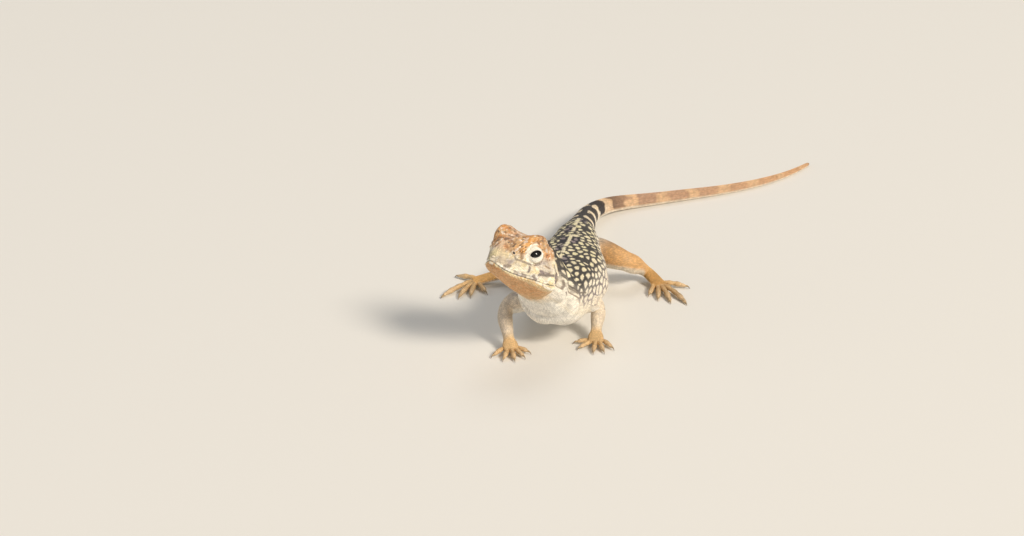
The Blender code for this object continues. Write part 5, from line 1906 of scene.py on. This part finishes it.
# Patches, pebbles, grain and relief are in mm
skinLook = {
    "shade": 0.74, "patches": 1.6, "pebbles": 0.42, "grain": 0.18, "relief": 0.06, "bump": 0.5,
    "roughness": (0.52, 0.74), "scaled": False,
}
scaleLook = {
    "shade": 1.0, "patches": 1.6, "grain": 0.12, "relief": 0.06, "bump": 0.35,
    "roughness": (0.40, 0.62), "scaled": True,
}
eyeLook = {
    "radius": 2.4,  # where the colours' places reach 1, in mm from the pupil's middle
    "colours": (
        (0.0, "#030202"), (0.30, "#040303"), (0.33, "#140D07"), (0.38, "#100A06"), (0.52, "#0C0805"),
        (0.60, "#080504"), (0.72, "#060404"),
    ),
    "spokes": 46.0,  # round the whole iris
}


def wetEye(nodes, look):
    # A wet eye: a black pupil in a hardly lighter brown iris with faint spokes, all under a clear film
    away = addNode(nodes, "ShaderNodeAttribute", {"attribute_name": "away"}).outputs["Fac"]
    turn = addNode(nodes, "ShaderNodeAttribute", {"attribute_name": "turn"}).outputs["Fac"]
    place = addNode(nodes, "ShaderNodeMath", {"operation": "DIVIDE", 1: look["radius"]}, {0: away}).outputs[0]
    bands = addNode(nodes, "ShaderNodeValToRGB", {}, {"Fac": place})
    stops = bands.color_ramp.elements
    for number, (at, code) in enumerate(look["colours"]):
        stop = stops[number] if number < 2 else stops.new(at)
        stop.position = at
        stop.color = linear(code)
    spokes = addNode(
        nodes, "ShaderNodeTexNoise", {"noise_dimensions": "1D", "Scale": look["spokes"], "Detail": 2.0}, {"W": turn}
    )
    tone = addNode(
        nodes, "ShaderNodeMapRange", {"From Min": 0.3, "From Max": 0.7, "To Min": 0.6, "To Max": 1.5},
        {"Value": spokes.outputs["Fac"]},
    ).outputs[0]
    colour = addNode(nodes, "ShaderNodeVectorMath", {"operation": "SCALE"}, {0: bands.outputs[0], "Scale": tone})
    return addNode(
        nodes, "ShaderNodeBsdfPrincipled",
        {"Roughness": 0.22, "IOR": 1.38, "Coat Weight": 0.8, "Coat Roughness": 0.03, "Coat IOR": 1.4},
        {"Base Color": colour.outputs[0]},
    )


clawLook = {"root": "#CDB184", "point": "#5A4433", "streaks": 0.15, "relief": 0.03}  # the last two in mm


def horn(nodes, look):
    # Horn: pale and cloudy at the root, brown and polished towards the point, with fine streaks
    along = addNode(nodes, "ShaderNodeAttribute", {"attribute_name": "along"}).outputs["Fac"]
    where = addNode(nodes, "ShaderNodeTexCoord").outputs["Object"]
    streaks = addNode(
        nodes, "ShaderNodeTexNoise", {"Scale": 1 / (look["streaks"] * mm), "Detail": 2.0}, {"Vector": where}
    ).outputs["Fac"]
    tone = addNode(nodes, "ShaderNodeMath", {"operation": "MULTIPLY_ADD", 1: 0.3, 2: -0.15}, {0: streaks}).outputs[0]
    place = addNode(nodes, "ShaderNodeMath", {"operation": "ADD"}, {0: along, 1: tone}).outputs[0]
    ends = {"data_type": "RGBA", 6: linear(look["root"]), 7: linear(look["point"])}
    mix = addNode(nodes, "ShaderNodeMix", ends, {0: place})
    bump = addNode(nodes, "ShaderNodeBump", {"Strength": 0.3, "Distance": look["relief"] * mm}, {"Height": streaks})
    return addNode(
        nodes, "ShaderNodeBsdfPrincipled", {"Roughness": 0.32, "IOR": 1.54},
        {"Base Color": mix.outputs[2], "Normal": bump.outputs[0]},
    )


paperLook = {"colour": "#E9E6E0", "fibres": 0.9, "relief": 0.1}  # fibres to the mm, and their relief in mm


def matPaper(nodes, look):
    # Uncoated paper: matt, with a hint of fibres
    where = addNode(nodes, "ShaderNodeTexCoord").outputs["Object"]
    fibres = addNode(
        nodes, "ShaderNodeTexNoise", {"Scale": look["fibres"] / mm, "Detail": 3.0}, {"Vector": where}
    ).outputs["Fac"]
    bump = addNode(nodes, "ShaderNodeBump", {"Strength": 0.08, "Distance": look["relief"] * mm}, {"Height": fibres})
    return addNode(
        nodes, "ShaderNodeBsdfPrincipled", {"Base Color": linear(look["colour"]), "Roughness": 0.85},
        {"Normal": bump.outputs[0]},
    )


# The animal put together: everything stands for the solids it covers

skin = addObject("skin", skinMesh)
skinMesh.materials.clear()
skinMesh.materials.append(newMaterial("soft skin between scales", keratin, skinLook))
scaleMaterial = newMaterial("satin scale keratin", keratin, scaleLook)
for thing in flesh:
    thing.data.materials.append(scaleMaterial)
eyeMaterial = newMaterial("wet lizard eye", wetEye, eyeLook)
for thing in eyes:
    thing.data.materials.append(eyeMaterial)
claws.data.materials.append(newMaterial("polished horn claw", horn, clawLook))

fleshNodes = [name for name in frame["nodes"] if not name.startswith("eye")]
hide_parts(*fleshNodes)
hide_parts("eye_left")
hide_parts("eye_right")
for thing in [skin, *flesh, *eyes, claws]:
    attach(thing, "root")


# Floor, light and camera

view = {
    "azimuth": 9.0,
    "elevation": 22.0,
    "distance": 1150.0,
    "lens": 135.0,
    "sensor": 36,
    "pixels": 3.34,  # for each mm at the animal
    "aim": (-43, 73.7),  # where the picture's middle lies from the shoulder's floor point, in pixels
    "clip": (0.05, 20),  # in metres
}
# Each light's place in metres, power in watts, size in metres and colour
lights = {
    "key": ((3.4, -2.72, 3.3), 275, 1.27, "#FFF5E6"),
    "fill": ((-1.3, -0.7, 0.7), 3.0, 1.2, "#EEF3FF"),
    "top": ((-0.1, 0.7, 1.6), 5, 1.0, "#FFFFFF"),
}
lightAim = (0, 0, 0.02)
sky = {"colour": "#F2F1EE", "strength": 0.34}


def addFloor():
    # A sheet wide enough to fill the picture from every side
    side = 2.5
    mesh = bpy.data.meshes.new("floor")
    mesh.from_pydata([(-side, -side, 0), (side, -side, 0), (side, side, 0), (-side, side, 0)], [], [(0, 1, 2, 3)])
    mesh.materials.append(newMaterial("matt studio paper", matPaper, paperLook))
    floor = addObject("floor", mesh)


def addLight(name, place, power, size, colour):
    # A square soft box turned to the animal
    data = bpy.data.lights.new(name, "AREA")
    data.energy = power
    data.size = size
    data.color = linear(colour)[:3]
    light = addObject(name, data)
    light.location = place
    light.rotation_euler = (Vector(lightAim) - Vector(place)).to_track_quat("-Z", "Y").to_euler()


def addCamera():
    # The picture's right and upward ways come from the two angles, and the camera stands back along their normal
    azimuth, elevation = math.radians(view["azimuth"]), math.radians(view["elevation"])
    right = np.array([math.cos(azimuth), math.sin(azimuth), 0])
    upward = np.array(
        [-math.sin(azimuth) * math.sin(elevation), math.cos(azimuth) * math.sin(elevation), math.cos(elevation)]
    )
    ahead = np.cross(upward, right)
    across, over = np.array(view["aim"]) / view["pixels"]
    place = shift + right * across + upward * over - ahead * view["distance"]
    data = bpy.data.cameras.new("camera")
    data.lens = view["lens"]
    data.sensor_width = view["sensor"]
    data.clip_start, data.clip_end = view["clip"]
    camera = addObject("camera", data)
    camera.location = (place * mm).tolist()
    camera.rotation_euler = Matrix((right, upward, -ahead)).transposed().to_euler()
    bpy.context.scene.camera = camera


addFloor()
for name, settings in lights.items():
    addLight(name, *settings)
world = bpy.data.worlds.new("studio")
world.use_nodes = True
background = world.node_tree.nodes["Background"]
background.inputs["Color"].default_value = linear(sky["colour"])
background.inputs["Strength"].default_value = sky["strength"]
bpy.context.scene.world = world
bpy.context.scene.view_settings.view_transform = "Standard"
addCamera()
print("floor, lights and camera are in place")
